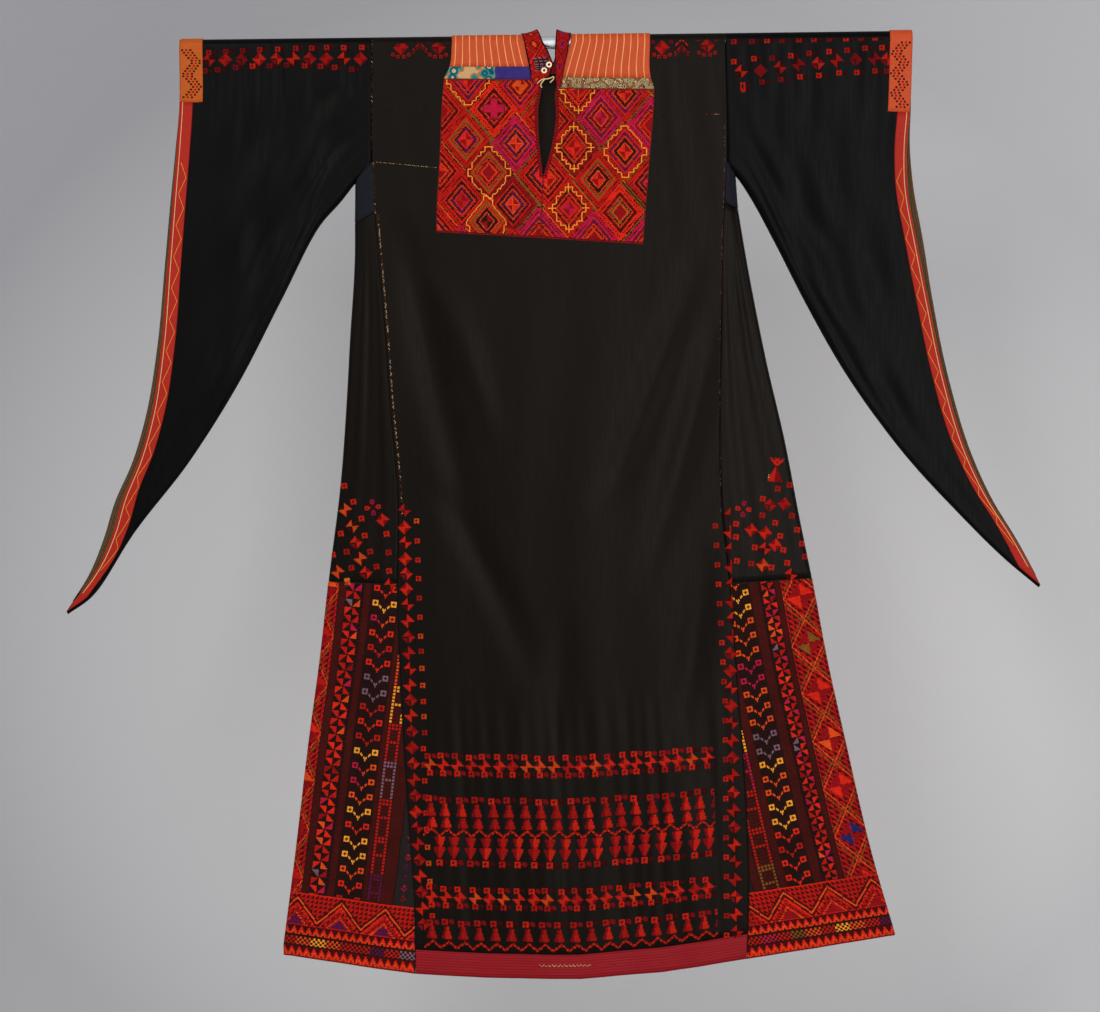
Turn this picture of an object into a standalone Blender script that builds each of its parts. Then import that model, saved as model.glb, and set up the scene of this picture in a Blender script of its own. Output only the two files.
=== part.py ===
"""A long black dress with embroidered panels and pointed winged sleeves, hung flat on a rod.

X runs right across the front, Y runs to the back and Z runs up. The origin is the middle of
the rod's axis under the neck. Sizes are millimetres here and become metres in each mesh.
The cloth of every piece is first a sheet, the cloth's inner face, and then a thin wall.
"""

import math
from collections import namedtuple

import bmesh
import bpy
import numpy as np
from mathutils import Matrix

MM = 0.001
CLOTH = 1.2  # thickness of every cloth wall
GAP = 0.3  # between pieces that touch
HALF_GAP = GAP / 2

ROD_RADIUS = 9.5
ROD_LEFT, ROD_RIGHT = -540.0, 536.0
ROD_SIDES = 32
WRAP = 10.2  # radius of the cloth's inner face over the rod
ARC = math.pi * WRAP  # length of that face from the front of the rod to its back
ARC_CELLS = 3  # cells in a quarter turn over the rod

LEFT, RIGHT = -1, 1
FRONT, BACK = -1, 1

# Height along a seam, and how far across it lies
SEAM = {
    LEFT: [
        (0, -262.0),
        (-158, -264.0),
        (-255, -261.0),
        (-426, -248.0),
        (-530, -242.0),
        (-702, -231.0),
        (-805, -234.0),
        (-978, -229.5),
        (-1136, -222.5),
        (-1276, -214.0),
        (-1392, -213.0),
    ],
    RIGHT: [
        (0, 264.0),
        (-186, 264.5),
        (-298, 257.0),
        (-388, 254.5),
        (-708, 250.5),
        (-809, 260.0),
        (-984, 271.0),
        (-1106, 278.5),
        (-1282, 282.0),
        (-1392, 276.0),
    ],
}

# Height, and how far across the fold of a side gore lies
SIDE_FOLD = {
    LEFT: [
        (-190, -288.5),
        (-232, -290.0),
        (-321, -291.5),
        (-440, -300.0),
        (-530, -306.0),
        (-649, -316.0),
        (-797, -336.0),
        (-917, -351.0),
        (-1036, -368.5),
        (-1214, -392.0),
        (-1341, -410.0),
    ],
    RIGHT: [
        (-190, 275.5),
        (-239, 278.5),
        (-299, 287.0),
        (-388, 302.0),
        (-478, 319.0),
        (-597, 345.0),
        (-717, 366.5),
        (-806, 383.5),
        (-926, 404.5),
        (-1045, 429.5),
        (-1225, 469.5),
        (-1337, 500.5),
    ],
}

# Height, and half the depth of the hanging dress at its front and back seams
SEAM_DEPTH = [(0, WRAP), (-185, 9.0), (-300, 11.0), (-600, 15.0), (-1000, 20.0), (-1392, 25.0)]
# Height, and how much deeper the dress is in its middle than at those seams
MIDDLE_DEPTH = [(0, 0.0), (-185, 2.5), (-600, 6.0), (-1000, 8.0), (-1392, 10.0)]
# Height, and the radius of the turn at a gore's fold
FOLD_RADIUS = [(-180, 6.0), (-600, 6.5), (-1392, 9.0)]

# Lines down the front and back that the panels' edges follow: height, and how far across
CHEST_EDGE = {
    LEFT: [
        (0, -143.0), (-37, -147.5), (-54, -155.5), (-66, -157.0), (-170, -163.5), (-272, -169.5),
        (-300, -169.0), (-812, -140.0), (-1392, -114.0),
    ],
    RIGHT: [
        (0, 152.0), (-56, 152.5), (-73, 157.5), (-86, 157.0), (-190, 148.0), (-300, 138.5),
        (-330, 137.0), (-812, 136.0), (-1392, 154.0),
    ],
}
SLIT_EDGE = {
    LEFT: [(0, -35.0), (-37, -24.0), (-56, -13.0), (-102, -16.0), (-150, -15.0), (-202, -10.0)],
    RIGHT: [(0, 34.0), (-53, 17.0), (-69, 11.0), (-112, 10.5), (-158, 3.0), (-202, -10.0)],
}
MIDDLE_LINE = [(-202, -10.0), (-293, -14.0), (-812, 13.0), (-1392, 31.0)]
BACK_NECK_EDGE = {
    LEFT: [(0, -35.0), (-45, -30.0), (-812, -25.0), (-1392, -10.0)],
    RIGHT: [(0, 34.0), (-45, 30.0), (-812, 50.0), (-1392, 72.0)],
}

# Rows of the body's grid. cells lie between a row and the one above it, the four heights are
# at the left seam, the slit's left edge, its right edge and the right seam, and the last two
# say how much higher the row is at a gore's fold than at its seam.
Row = namedtuple("Row", "name cells left slit_left slit_right right rise_left rise_right")
ROWS = [
    Row("rod level", 0, 0, 0, 0, 0, 0, 0),
    Row("yoke foot", 1, -34, -37, -53, -59, 0, 0),
    Row("strip foot", 1, -51, -56, -69, -75, 0, 0),
    Row("slit foot", 3, -182, -202, -202, -188, -22, -12),
    Row("gusset foot", 1, -250, -250, -250, -242, -14, -7),
    Row("chest foot", 1, -274, -293, -293, -312, -8, -4),
    Row("side panel head", 9, -805, -812, -812, -809, 6, 6),
    Row("hem band head", 10, -1347, -1356, -1356, -1330, 26, 26),
    Row("hem", 1, -1383, -1392, -1392, -1367, 27, 29),
]
SEAM_CELLS, CHEST_CELLS, NECK_CELLS = 4, 4, 2  # seam to chest edge, on to the slit, across the neck
CHEST_SHARE = 0.42  # how far from the seam to the slit the chest edge lies
# The row that ends the front's shoulder piece: a named row, and rows below it
SHOULDER_FOOT = {LEFT: ("slit foot", 0), RIGHT: ("strip foot", 1)}
CHEST_FOOT_Z, HEM_Z = -293, -1392
HEM_SAG = 1.0  # bends the rows below the chest into the hem's curve

# Soft folds of the hanging cloth. A fold runs from its head to its foot, its middle at x_mid
# halfway down. depth is how far it sinks into the body, or rises out of it if negative.
Fold = namedtuple("Fold", "x_head z_head x_mid x_foot z_foot width depth")
FRONT_FOLDS = [
    Fold(-222, -250, -172, -116, -760, 24, 7.0),
    Fold(-176, -330, -120, -84, -620, 20, -3.5),
    Fold(-186, -640, -92, -38, -960, 24, 5.0),
    Fold(226, -300, 150, 66, -720, 24, 6.5),
    Fold(252, -380, 196, 126, -830, 22, 6.0),
    Fold(224, -740, 206, 170, -1060, 24, 5.5),
    Fold(14, -840, 8, -6, -1080, 22, 3.0),
    Fold(-130, -1010, -128, -120, -1460, 26, 4.5),
    Fold(-20, -1060, -16, -12, -1460, 24, -3.5),
    Fold(90, -1030, 96, 104, -1460, 26, 4.5),
    Fold(200, -1090, 204, 206, -1460, 22, -3.5),
]
BACK_FOLDS = [
    Fold(-214, -230, -150, -96, -800, 26, 6.5),
    Fold(-60, -300, -66, -58, -900, 30, -4.0),
    Fold(206, -250, 160, 92, -760, 26, 6.5),
    Fold(30, -560, 34, 44, -1150, 28, 5.0),
    Fold(-150, -840, -156, -160, -1460, 28, 5.0),
    Fold(176, -800, 190, 200, -1460, 28, 5.5),
    Fold(120, -960, 120, 118, -1460, 24, -4.0),
    Fold(-40, -1000, -44, -50, -1460, 26, -4.0),
]

# Long creases beside a gore's fold: how far from the seam to the fold they lie, from 0 to 1,
# the heights where they start and end, their width as a share of the gore, and their depth
Crease = namedtuple("Crease", "side face across z_head z_foot width depth")
CREASES = [
    Crease(LEFT, FRONT, 0.45, -260, -860, 0.20, 2.5),
    Crease(RIGHT, FRONT, 0.40, -260, -880, 0.20, 2.5),
    Crease(LEFT, FRONT, 0.62, -760, -1450, 0.16, 4.0),
    Crease(LEFT, FRONT, 0.30, -900, -1450, 0.14, -3.0),
    Crease(RIGHT, FRONT, 0.66, -800, -1450, 0.15, 4.0),
    Crease(RIGHT, FRONT, 0.28, -760, -1450, 0.14, 4.0),
    Crease(LEFT, BACK, 0.40, -300, -1000, 0.20, 3.0),
    Crease(RIGHT, BACK, 0.50, -300, -1000, 0.20, 3.0),
    Crease(LEFT, BACK, 0.60, -860, -1450, 0.16, 4.0),
    Crease(RIGHT, BACK, 0.35, -860, -1450, 0.16, 4.0),
]
GORE_FLAT_CELLS, GORE_TURN_CELLS = 4, 3

# The sleeve's opening, from the cuff on the rod down to the tip: height, and how far across
OPENING = {
    LEFT: [
        (0, -549.0),
        (-83, -552.0),
        (-154, -559.0),
        (-228, -567.0),
        (-318, -576.0),
        (-452, -590.0),
        (-556, -609.0),
        (-623, -630.0),
        (-675, -654.0),
        (-734, -673.0),
        (-786, -695.0),
        (-840, -730.0),
    ],
    RIGHT: [
        (0, 543.0),
        (-108, 541.0),
        (-153, 539.0),
        (-212, 542.5),
        (-302, 557.0),
        (-391, 570.0),
        (-511, 593.0),
        (-631, 628.5),
        (-691, 655.5),
        (-751, 691.0),
        (-818, 726.0),
    ],
}
# The sleeve's lower seam, from the armpit to the tip: how far across, and height
LOWER_SEAM = {
    LEFT: [
        (-264.0, -181.0),
        (-289.0, -204.0),
        (-311.0, -232.0),
        (-344.0, -270.0),
        (-400.0, -377.0),
        (-462.0, -497.0),
        (-536.0, -616.0),
        (-627.0, -735.0),
        (-685.0, -824.0),
        (-722.0, -852.0),
    ],
    RIGHT: [
        (264.5, -187.0),
        (283.5, -209.0),
        (302.5, -240.0),
        (333.0, -299.0),
        (377.0, -389.0),
        (425.0, -479.0),
        (505.0, -599.0),
        (609.0, -720.0),
        (668.0, -781.0),
        (720.0, -827.0),
    ],
}
# How far the back layer stands out beyond the front one along the opening, from cuff to tip
BACK_PEEK = {
    LEFT: [(0, 0.0), (0.12, 3.0), (0.5, 7.0), (0.72, 10.0), (0.9, 11.0), (1, 2.0)],
    RIGHT: [(0, 0.0), (0.15, 4.0), (0.3, 12.0), (0.5, 8.0), (0.8, 7.0), (1, 2.0)],
}
PEEK_POWER = 6  # keeps that difference near the opening
# Depth of the sleeve's turn at its lower seam, from armhole to tip
SLEEVE_TURN = [(0, 9.0), (0.3, 6.0), (1, 3.5)]
TURN_CELLS = 4
UPRIGHT_UNTIL = 0.1  # share of the seam over which its turn leaves the armhole's upright plane
# Rows of the sleeve's grid: cells from the row above, height at the armhole, at the opening
SleeveRow = namedtuple("SleeveRow", "cells armhole opening")
PATCH_FOOT = {LEFT: -83.0, RIGHT: -112.0}
PATCH_FOOT_AT_ARMHOLE = -60.0
PATCH_CELLS, WING_CELLS = 3, 10
# Columns of the sleeve's grid, from armhole to opening: cells, and share of the way
PIT_COLUMN = 0.055
SLEEVE_COLUMNS = [(0, 0.0), (1, PIT_COLUMN), (8, 0.88), (1, 0.93), (1, 1.0)]
# Soft diagonal folds of a sleeve: the row share where each starts at the armhole and ends at
# the opening, its width and its depth
SleeveFold = namedtuple("SleeveFold", "face start end width depth")
SLEEVE_FOLDS = {
    LEFT: [
        SleeveFold(FRONT, 0.10, 0.28, 0.07, 2.5),
        SleeveFold(FRONT, 0.55, 0.50, 0.08, 3.0),
        SleeveFold(FRONT, 0.85, 0.72, 0.06, -2.0),
        SleeveFold(BACK, 0.30, 0.40, 0.08, 3.0),
        SleeveFold(BACK, 0.75, 0.66, 0.08, 2.5),
    ],
    RIGHT: [
        SleeveFold(FRONT, 0.15, 0.22, 0.07, 2.5),
        SleeveFold(FRONT, 0.60, 0.44, 0.08, 3.0),
        SleeveFold(FRONT, 0.80, 0.70, 0.06, -2.0),
        SleeveFold(BACK, 0.25, 0.36, 0.08, 3.0),
        SleeveFold(BACK, 0.70, 0.62, 0.08, 2.5),
    ],
}
GUSSET_CLEARANCE = 3.0  # below the sleeve's seam line, which leaves GAP under its wall
FACING_LENGTH = 7.0  # how far the back's hem facing shows below the hem band
FACING_HEAD = 42.0  # and how far up it reaches inside

# The collar: one line across it in each row, from its outer edge, sewn to the yoke, to its
# inner edge. cells lie between a line and the one before it. x is across, h is along the
# cloth: heights below the rod in front, then over the rod to ARC, then down the back.
CollarLine = namedtuple("CollarLine", "cells outer_x outer_h inner_x inner_h inner_lift")
COLLAR = {
    LEFT: [
        CollarLine(0, -26, -56, -12, -61, 0.0),
        CollarLine(1, -27, -47, 2, -51, 0.0),
        CollarLine(1, -29, -36, 8, -34, 0.5),
        CollarLine(1, -33, -16, 0, -14, 2.0),
        CollarLine(1, -36, 0, -8, 0, 4.0),
        CollarLine(ARC_CELLS, -40, ARC / 2, -17, ARC / 2, 6.0),
        CollarLine(ARC_CELLS, -39, ARC, -16, ARC, 4.5),
        CollarLine(1, -34, 52, -13, 44, 2.0),
        CollarLine(1, -21, 76, -8, 58, 0.5),
        CollarLine(1, -HALF_GAP, 86, -HALF_GAP, 63, 0.0),
    ],
    RIGHT: [
        CollarLine(0, 18, -69, 12, -68, 0.0),
        CollarLine(1, 21, -56, 10.5, -54, 0.0),
        CollarLine(1, 24, -38, 10, -36, 0.5),
        CollarLine(1, 29, -16, 10, -16, 2.0),
        CollarLine(1, 32, 0, 11, 0, 4.0),
        CollarLine(ARC_CELLS, 35, ARC / 2, 13, ARC / 2, 6.0),
        CollarLine(ARC_CELLS, 36, ARC, 15, ARC, 4.5),
        CollarLine(1, 33, 52, 12, 44, 2.0),
        CollarLine(1, 21, 76, 8, 58, 0.5),
        CollarLine(1, HALF_GAP, 86, HALF_GAP, 63, 0.0),
    ],
}
COLLAR_CELLS = 3
COLLAR_LAYER = 2 * (CLOTH + GAP)  # over the front panel and the yoke

BUTTON_RADIUS, BUTTON_THICKNESS, BUTTON_SIDES = 4.5, 2.0, 20
# Where each lies, and how far the collar's curve holds it off
BUTTONS = {"button_upper": (1.1, -35.0, 0.3), "button_lower": (-6.2, -43.4, 0.0)}

# Colours of the pieces, roughness, metallic
FINISHES = {
    "black_satin": ((0.016, 0.014, 0.012), 0.42, 0.0),
    "navy_cotton": ((0.012, 0.016, 0.040), 0.75, 0.0),
    "orange_stripe": ((0.560, 0.110, 0.045), 0.50, 0.0),
    "printed_cotton": ((0.120, 0.150, 0.180), 0.75, 0.0),
    "red_embroidery": ((0.420, 0.030, 0.018), 0.70, 0.0),
    "amber_silk": ((0.500, 0.160, 0.030), 0.55, 0.0),
    "brick_silk": ((0.440, 0.045, 0.020), 0.50, 0.0),
    "olive_stripe": ((0.090, 0.060, 0.030), 0.65, 0.0),
    "crimson_satin": ((0.300, 0.012, 0.020), 0.45, 0.0),
    "brown_cotton": ((0.080, 0.022, 0.014), 0.80, 0.0),
    "button_shell": ((0.760, 0.640, 0.460), 0.35, 0.0),
    "rod_metal": ((0.660, 0.680, 0.700), 0.25, 1.0),
}


def smooth(table, at):
    """The value at a key on a smooth curve through a table's rows of key and value."""
    keys, values = np.array(sorted(table), dtype=float).T
    slopes = np.gradient(values, keys)
    row = min(max(int(np.searchsorted(keys, at)) - 1, 0), len(keys) - 2)
    span = keys[row + 1] - keys[row]
    u = min(max((at - keys[row]) / span, 0.0), 1.0)
    start, end = values[row], values[row + 1]
    rise = slopes[row] * span
    fall = slopes[row + 1] * span
    ease = u * u * (3 - 2 * u)
    bend = u * (1 - u) * (rise * (1 - u) - fall * u)
    return start + (end - start) * ease + bend


def lerp(start, end, share):
    return start + (end - start) * share


def spread(keys):
    """Points between the key values: keys is a list of (cells before it, value)."""
    found = [keys[0][1]]
    for (_, start), (cells, end) in zip(keys, keys[1:]):
        found += [lerp(start, end, step / cells) for step in range(1, cells + 1)]
    return found


def fold_height(folds, x, z):
    """How far the folds push a point into the body."""
    total = 0.0
    for fold in folds:
        down = (fold.z_head - z) / (fold.z_head - fold.z_foot)
        if 0 < down < 1:
            straight = lerp(fold.x_head, fold.x_foot, down)
            bow = fold.x_mid - (fold.x_head + fold.x_foot) / 2
            away = (x - straight - 4 * bow * down * (1 - down)) / fold.width
            total += fold.depth * math.sin(math.pi * down) * math.exp(-away * away)
    return total


def crease_height(side, face, across, z):
    total = 0.0
    for crease in CREASES:
        down = (crease.z_head - z) / (crease.z_head - crease.z_foot)
        if (crease.side, crease.face) == (side, face) and 0 < down < 1:
            away = (across - crease.across) / crease.width
            total += crease.depth * math.sin(math.pi * down) * math.exp(-away * away)
    return total * min(1.0, 6 * across, 6 * (1 - across))


def body_depth(x, z):
    """Half the depth of the dress between its seams, without folds."""
    left, right = smooth(SEAM[LEFT], z), smooth(SEAM[RIGHT], z)
    across = (2 * x - left - right) / (right - left)
    return smooth(SEAM_DEPTH, z) + smooth(MIDDLE_DEPTH, z) * max(0.0, 1 - across * across)


def body_point(x, h):
    """A point of the cloth's inner face between the seams. h is the height in front, then
    runs over the rod, and from ARC on it runs down the back."""
    if h <= 0:
        return np.array([x, fold_height(FRONT_FOLDS, x, h) - body_depth(x, h), h])
    if h < ARC:
        return np.array([x, -WRAP * math.cos(h / WRAP), WRAP * math.sin(h / WRAP)])
    z = ARC - h
    return np.array([x, body_depth(x, z) - fold_height(BACK_FOLDS, x, z), z])


def outward(x, h):
    """The direction out of the cloth at a point of body_point."""
    step = 1.0
    across = body_point(x + step, h) - body_point(x - step, h)
    along = body_point(x, h + step) - body_point(x, h - step)
    normal = np.cross(across, along)
    return normal / np.linalg.norm(normal)


def body_rows(first, last):
    """The rows of the body's grid from one named row to another, each a Row."""
    names = [row.name for row in ROWS]
    start, end = names.index(first), names.index(last)
    rows = [ROWS[start]]
    for above, below in zip(ROWS[start:end], ROWS[start + 1 : end + 1]):
        for step in range(1, below.cells + 1):
            share = step / below.cells
            heights = [lerp(a, b, share) for a, b in zip(above[2:], below[2:])]
            rows.append(Row(below.name, below.cells, *heights))
    return rows


def inner_edge(side, face, z):
    """How far across the grid's inner line lies: the slit's edge, or the back neck's."""
    if face == BACK:
        return smooth(BACK_NECK_EDGE[side], z)
    if z < ROWS[3].slit_left:
        return smooth(MIDDLE_LINE, z)
    return smooth(SLIT_EDGE[side], z)


def half_line(side, face, row):
    """(x, z) of the grid's points in one row, from the seam to the slit or neck."""
    if side == LEFT:
        seam_z, inner_z = row.left, row.slit_left
    else:
        seam_z, inner_z = row.right, row.slit_right
    if face == BACK:
        inner_z = (row.slit_left + row.slit_right) / 2
    sag = HEM_SAG * max(0.0, (inner_z - CHEST_FOOT_Z) / (HEM_Z - CHEST_FOOT_Z))
    edge_z = lerp(seam_z, inner_z, CHEST_SHARE + sag * CHEST_SHARE * (1 - CHEST_SHARE))
    seam = np.array([smooth(SEAM[side], seam_z) - side * HALF_GAP, seam_z])
    edge = np.array([smooth(CHEST_EDGE[side], edge_z), edge_z])
    inner = np.array([inner_edge(side, face, inner_z), inner_z])
    return spread([(0, seam), (SEAM_CELLS, edge), (CHEST_CELLS, inner)])


def half_grid(side, face, last):
    """Points of the front's or back's grid on one side of the middle, from the rod's top
    down to a named row: rows of points, each from the seam to the slit or neck."""
    rod_line = half_line(side, face, ROWS[0])
    start = ARC / 2 + face * GAP / 2
    end = ARC if face == BACK else 0.0
    arc = [lerp(start, end, step / ARC_CELLS) for step in range(ARC_CELLS)]
    grid = [[body_point(x, h) for x, _ in rod_line] for h in arc]
    for row in body_rows("rod level", last):
        line = half_line(side, face, row)
        grid.append([body_point(x, z if face == FRONT else ARC - z) for x, z in line])
    return np.array(grid)


def row_number(name):
    """Which row of a half grid is the named row."""
    return ARC_CELLS + len(body_rows("rod level", name)) - 1


def raised(grid, distance):
    """A grid's points moved out of the cloth. Rows run down and points run to the right in
    front, so the other way round is turned by the caller."""
    down = np.gradient(grid, axis=0)
    right = np.gradient(grid, axis=1)
    normal = np.cross(down, right)
    normal /= np.linalg.norm(normal, axis=2, keepdims=True)
    return grid + normal * distance


def pulled_in(grid, sides="tblr", by=HALF_GAP):
    """A grid whose top, bottom, left or right edge is drawn back by half a gap."""
    grid = grid.copy()
    for name, edge, beside in (("t", 0, 1), ("b", -1, -2)):
        if name in sides:
            way = grid[beside] - grid[edge]
            grid[edge] += way / np.linalg.norm(way, axis=1, keepdims=True) * by
    for name, edge, beside in (("l", 0, 1), ("r", -1, -2)):
        if name in sides:
            way = grid[:, beside] - grid[:, edge]
            grid[:, edge] += way / np.linalg.norm(way, axis=1, keepdims=True) * by
    return grid


def gore_line(side, row):
    """Points of a side gore in one row, from the front seam round the fold to the back."""
    seam_z, rise = (row.left, row.rise_left) if side == LEFT else (row.right, row.rise_right)
    seam_x = smooth(SEAM[side], seam_z) + side * HALF_GAP
    fold_x = smooth(SIDE_FOLD[side], seam_z + rise)
    radius = smooth(FOLD_RADIUS, seam_z)
    flat_x = fold_x - side * radius
    depth = smooth(SEAM_DEPTH, seam_z)
    line = []
    for face in (FRONT, BACK):
        flat = []
        for step in range(GORE_FLAT_CELLS + 1):
            across = step / GORE_FLAT_CELLS
            z = seam_z + rise * across
            here = lerp(depth, radius, across * across) - crease_height(side, face, across, z)
            flat.append([lerp(seam_x, flat_x, across), face * here, z])
        turn = []
        for step in range(1, GORE_TURN_CELLS + (face == FRONT)):
            angle = math.pi / 2 * step / GORE_TURN_CELLS
            turn.append(
                [
                    flat_x + side * radius * math.sin(angle),
                    face * radius * math.cos(angle),
                    seam_z + rise,
                ]
            )
        line += flat + turn if face == FRONT else (flat + turn)[::-1]
    return np.array(line)


def gore_grid(side, first, last):
    return np.array([gore_line(side, row) for row in body_rows(first, last)])


def gusset_grid(side):
    """The gore's head, cut along the sleeve's lower seam."""
    head, foot = gore_grid(side, "slit foot", "gusset foot")
    pit, _ = lower_seam_point(side, 0)
    beside, _ = lower_seam_point(side, PIT_COLUMN)
    for point in head:
        along = (point[0] - pit[0]) / (beside[0] - pit[0])
        point[2] = lerp(pit[1], beside[1], along) - GUSSET_CLEARANCE
    return np.array([head, (head + foot) / 2, foot])


def sleeve_rows(side):
    """Height at the armhole and at the opening for each row of a sleeve's grid."""
    foot = LOWER_SEAM[side][0][1]
    tip = OPENING[side][-1][0]
    keys = [
        (0, np.array([0.0, 0.0])),
        (PATCH_CELLS, np.array([PATCH_FOOT_AT_ARMHOLE, PATCH_FOOT[side]])),
        (WING_CELLS, np.array([foot + smooth(SLEEVE_TURN, 0), tip])),
    ]
    return spread(keys)


def lower_seam_point(side, share):
    """A point of the lower seam in front view, and the direction from it into the sleeve."""
    start, end = LOWER_SEAM[side][0][0], LOWER_SEAM[side][-1][0]
    step = 1.0
    x = lerp(start, end, share)
    slope = (smooth(LOWER_SEAM[side], x + step) - smooth(LOWER_SEAM[side], x - step)) / (2 * step)
    square = np.array([-slope, 1.0]) / math.hypot(slope, 1.0)
    inward = lerp(np.array([0.0, 1.0]), square, min(1.0, share / UPRIGHT_UNTIL))
    return np.array([x, smooth(LOWER_SEAM[side], x)]), inward / np.linalg.norm(inward)


def sleeve_plan(side, face, share, row):
    """Where a point of the sleeve lies in front view: share runs from armhole to opening."""
    armhole_z, opening_z = row
    tip_z = OPENING[side][-1][0]
    down = opening_z / tip_z
    peek = smooth(BACK_PEEK[side], down)
    armhole = np.array([smooth(SEAM[side], armhole_z) + side * HALF_GAP, armhole_z])
    opening = np.array([smooth(OPENING[side], opening_z) - side * peek, opening_z])
    head = np.array([smooth(SEAM[side], 0) + side * HALF_GAP, 0.0])
    cuff = np.array([smooth(OPENING[side], 0), 0.0])
    seam, inward = lower_seam_point(side, share)
    seam = seam + inward * smooth(SLEEVE_TURN, share)
    pit, pit_in = lower_seam_point(side, 0)
    pit = pit + pit_in * smooth(SLEEVE_TURN, 0)
    tip, tip_in = lower_seam_point(side, 1)
    tip = tip + tip_in * smooth(SLEEVE_TURN, 1)
    across = lerp(armhole, opening, share)
    along = lerp(lerp(head, cuff, share), seam, down)
    corners = lerp(lerp(head, cuff, share), lerp(pit, tip, share), down)
    plan = across + along - corners
    if face == BACK:
        plan[0] += side * peek * share**PEEK_POWER
    return plan


def sleeve_depth(side, face, share, row):
    """Half the sleeve's depth at a point, with its folds."""
    armhole_z, opening_z = row
    down = opening_z / OPENING[side][-1][0]
    thin = smooth(SLEEVE_TURN, share)
    depth = lerp(smooth(SEAM_DEPTH, armhole_z), thin + (WRAP - thin) * (1 - down) ** 1.3, share)
    for fold in SLEEVE_FOLDS[side]:
        if fold.face == face:
            away = (down - lerp(fold.start, fold.end, share)) / fold.width
            shape = math.sin(math.pi * share) * math.sin(math.pi * down)
            depth -= fold.depth * shape * math.exp(-away * away)
    return depth


def sleeve_layer(side, face, shares):
    """One layer of the sleeve, from the rod down to its lower seam."""
    grid = []
    for row in sleeve_rows(side):
        line = []
        for share in shares:
            x, z = sleeve_plan(side, face, share, row)
            line.append([x, face * sleeve_depth(side, face, share, row), z])
        grid.append(line)
    return np.array(grid)


def sleeve_over_rod(side, shares, start, end):
    """The sleeve's face over the rod between two angles, without the end at 0 or 180."""
    head = smooth(SEAM[side], 0) + side * HALF_GAP
    cuff = smooth(OPENING[side], 0)
    grid = []
    for angle in np.radians(np.linspace(start, end, ARC_CELLS + 1)):
        if 1e-6 < angle < math.pi - 1e-6:
            y, z = -WRAP * math.cos(angle), WRAP * math.sin(angle)
            grid.append([[lerp(head, cuff, share), y, z] for share in shares])
    return np.array(grid)


def sleeve_turn(side, shares, front, back):
    """The turn at the lower seam, between the last rows of the two layers."""
    grid = []
    for step in range(1, TURN_CELLS):
        angle = math.pi * step / TURN_CELLS
        line = []
        for share, near, far in zip(shares, front, back):
            _, inward = lower_seam_point(side, share)
            middle = lerp(near, far, (1 - math.cos(angle)) / 2)
            drop = smooth(SLEEVE_TURN, share) * math.sin(angle)
            line.append([middle[0] - inward[0] * drop, middle[1], middle[2] - inward[1] * drop])
        grid.append(line)
    return np.array(grid)


def sleeve_grid(side):
    """The whole sleeve, from the rod's top down the front and up the back to it again."""
    shares = spread(SLEEVE_COLUMNS)
    front = sleeve_layer(side, FRONT, shares)
    back = sleeve_layer(side, BACK, shares)
    turn = sleeve_turn(side, shares, front[-1], back[-1])
    over_front = sleeve_over_rod(side, shares, 90, 0)
    over_back = sleeve_over_rod(side, shares, 180, 90)
    return np.concatenate([over_front, front, turn, back[::-1], over_back])


def finish(obj, name):
    """Gives an object its material."""
    material = bpy.data.materials.get(name)
    if material is None:
        colour, roughness, metallic = FINISHES[name]
        material = bpy.data.materials.new(name)
        material.use_nodes = True
        shader = material.node_tree.nodes["Principled BSDF"]
        shader.inputs["Base Color"].default_value = (*colour, 1.0)
        shader.inputs["Roughness"].default_value = roughness
        shader.inputs["Metallic"].default_value = metallic
    obj.data.materials.append(material)


def place(mesh_builder, name, material):
    """Turns a bmesh in millimetres into a named object in metres."""
    bmesh.ops.scale(mesh_builder, vec=(MM, MM, MM), verts=mesh_builder.verts)
    mesh = bpy.data.meshes.new(name)
    mesh_builder.to_mesh(mesh)
    mesh_builder.free()
    mesh.shade_smooth()
    obj = bpy.data.objects.new(name, mesh)
    bpy.context.scene.collection.objects.link(obj)
    finish(obj, material)
    return obj


def cloth(name, grids, material, skip=()):
    """A wall of cloth whose inner face runs through one or more grids, joined where they
    meet. Faces point out where a grid's rows run down and its points run right in front.
    skip holds (row, column) of cells that stay open."""
    sheet = bmesh.new()
    for grid in grids:
        corners = [[sheet.verts.new(point) for point in line] for line in grid]
        for r in range(len(grid) - 1):
            for c in range(len(grid[0]) - 1):
                if (r, c) in skip:
                    continue
                a, b = corners[r][c], corners[r][c + 1]
                d, e = corners[r + 1][c], corners[r + 1][c + 1]
                sheet.faces.new((a, d, e))
                sheet.faces.new((a, e, b))
    bmesh.ops.remove_doubles(sheet, verts=sheet.verts, dist=0.01)
    loose = [vert for vert in sheet.verts if not vert.link_faces]
    bmesh.ops.delete(sheet, geom=loose, context="VERTS")
    obj = place(sheet, name, material)
    wall = obj.modifiers.new("Wall", "SOLIDIFY")
    wall.thickness = CLOTH * MM
    wall.offset = 1.0
    return obj


def from_left(grid, side):
    """A side's grid with its points running from left to right in front view."""
    return grid if side == LEFT else grid[:, ::-1]


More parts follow.
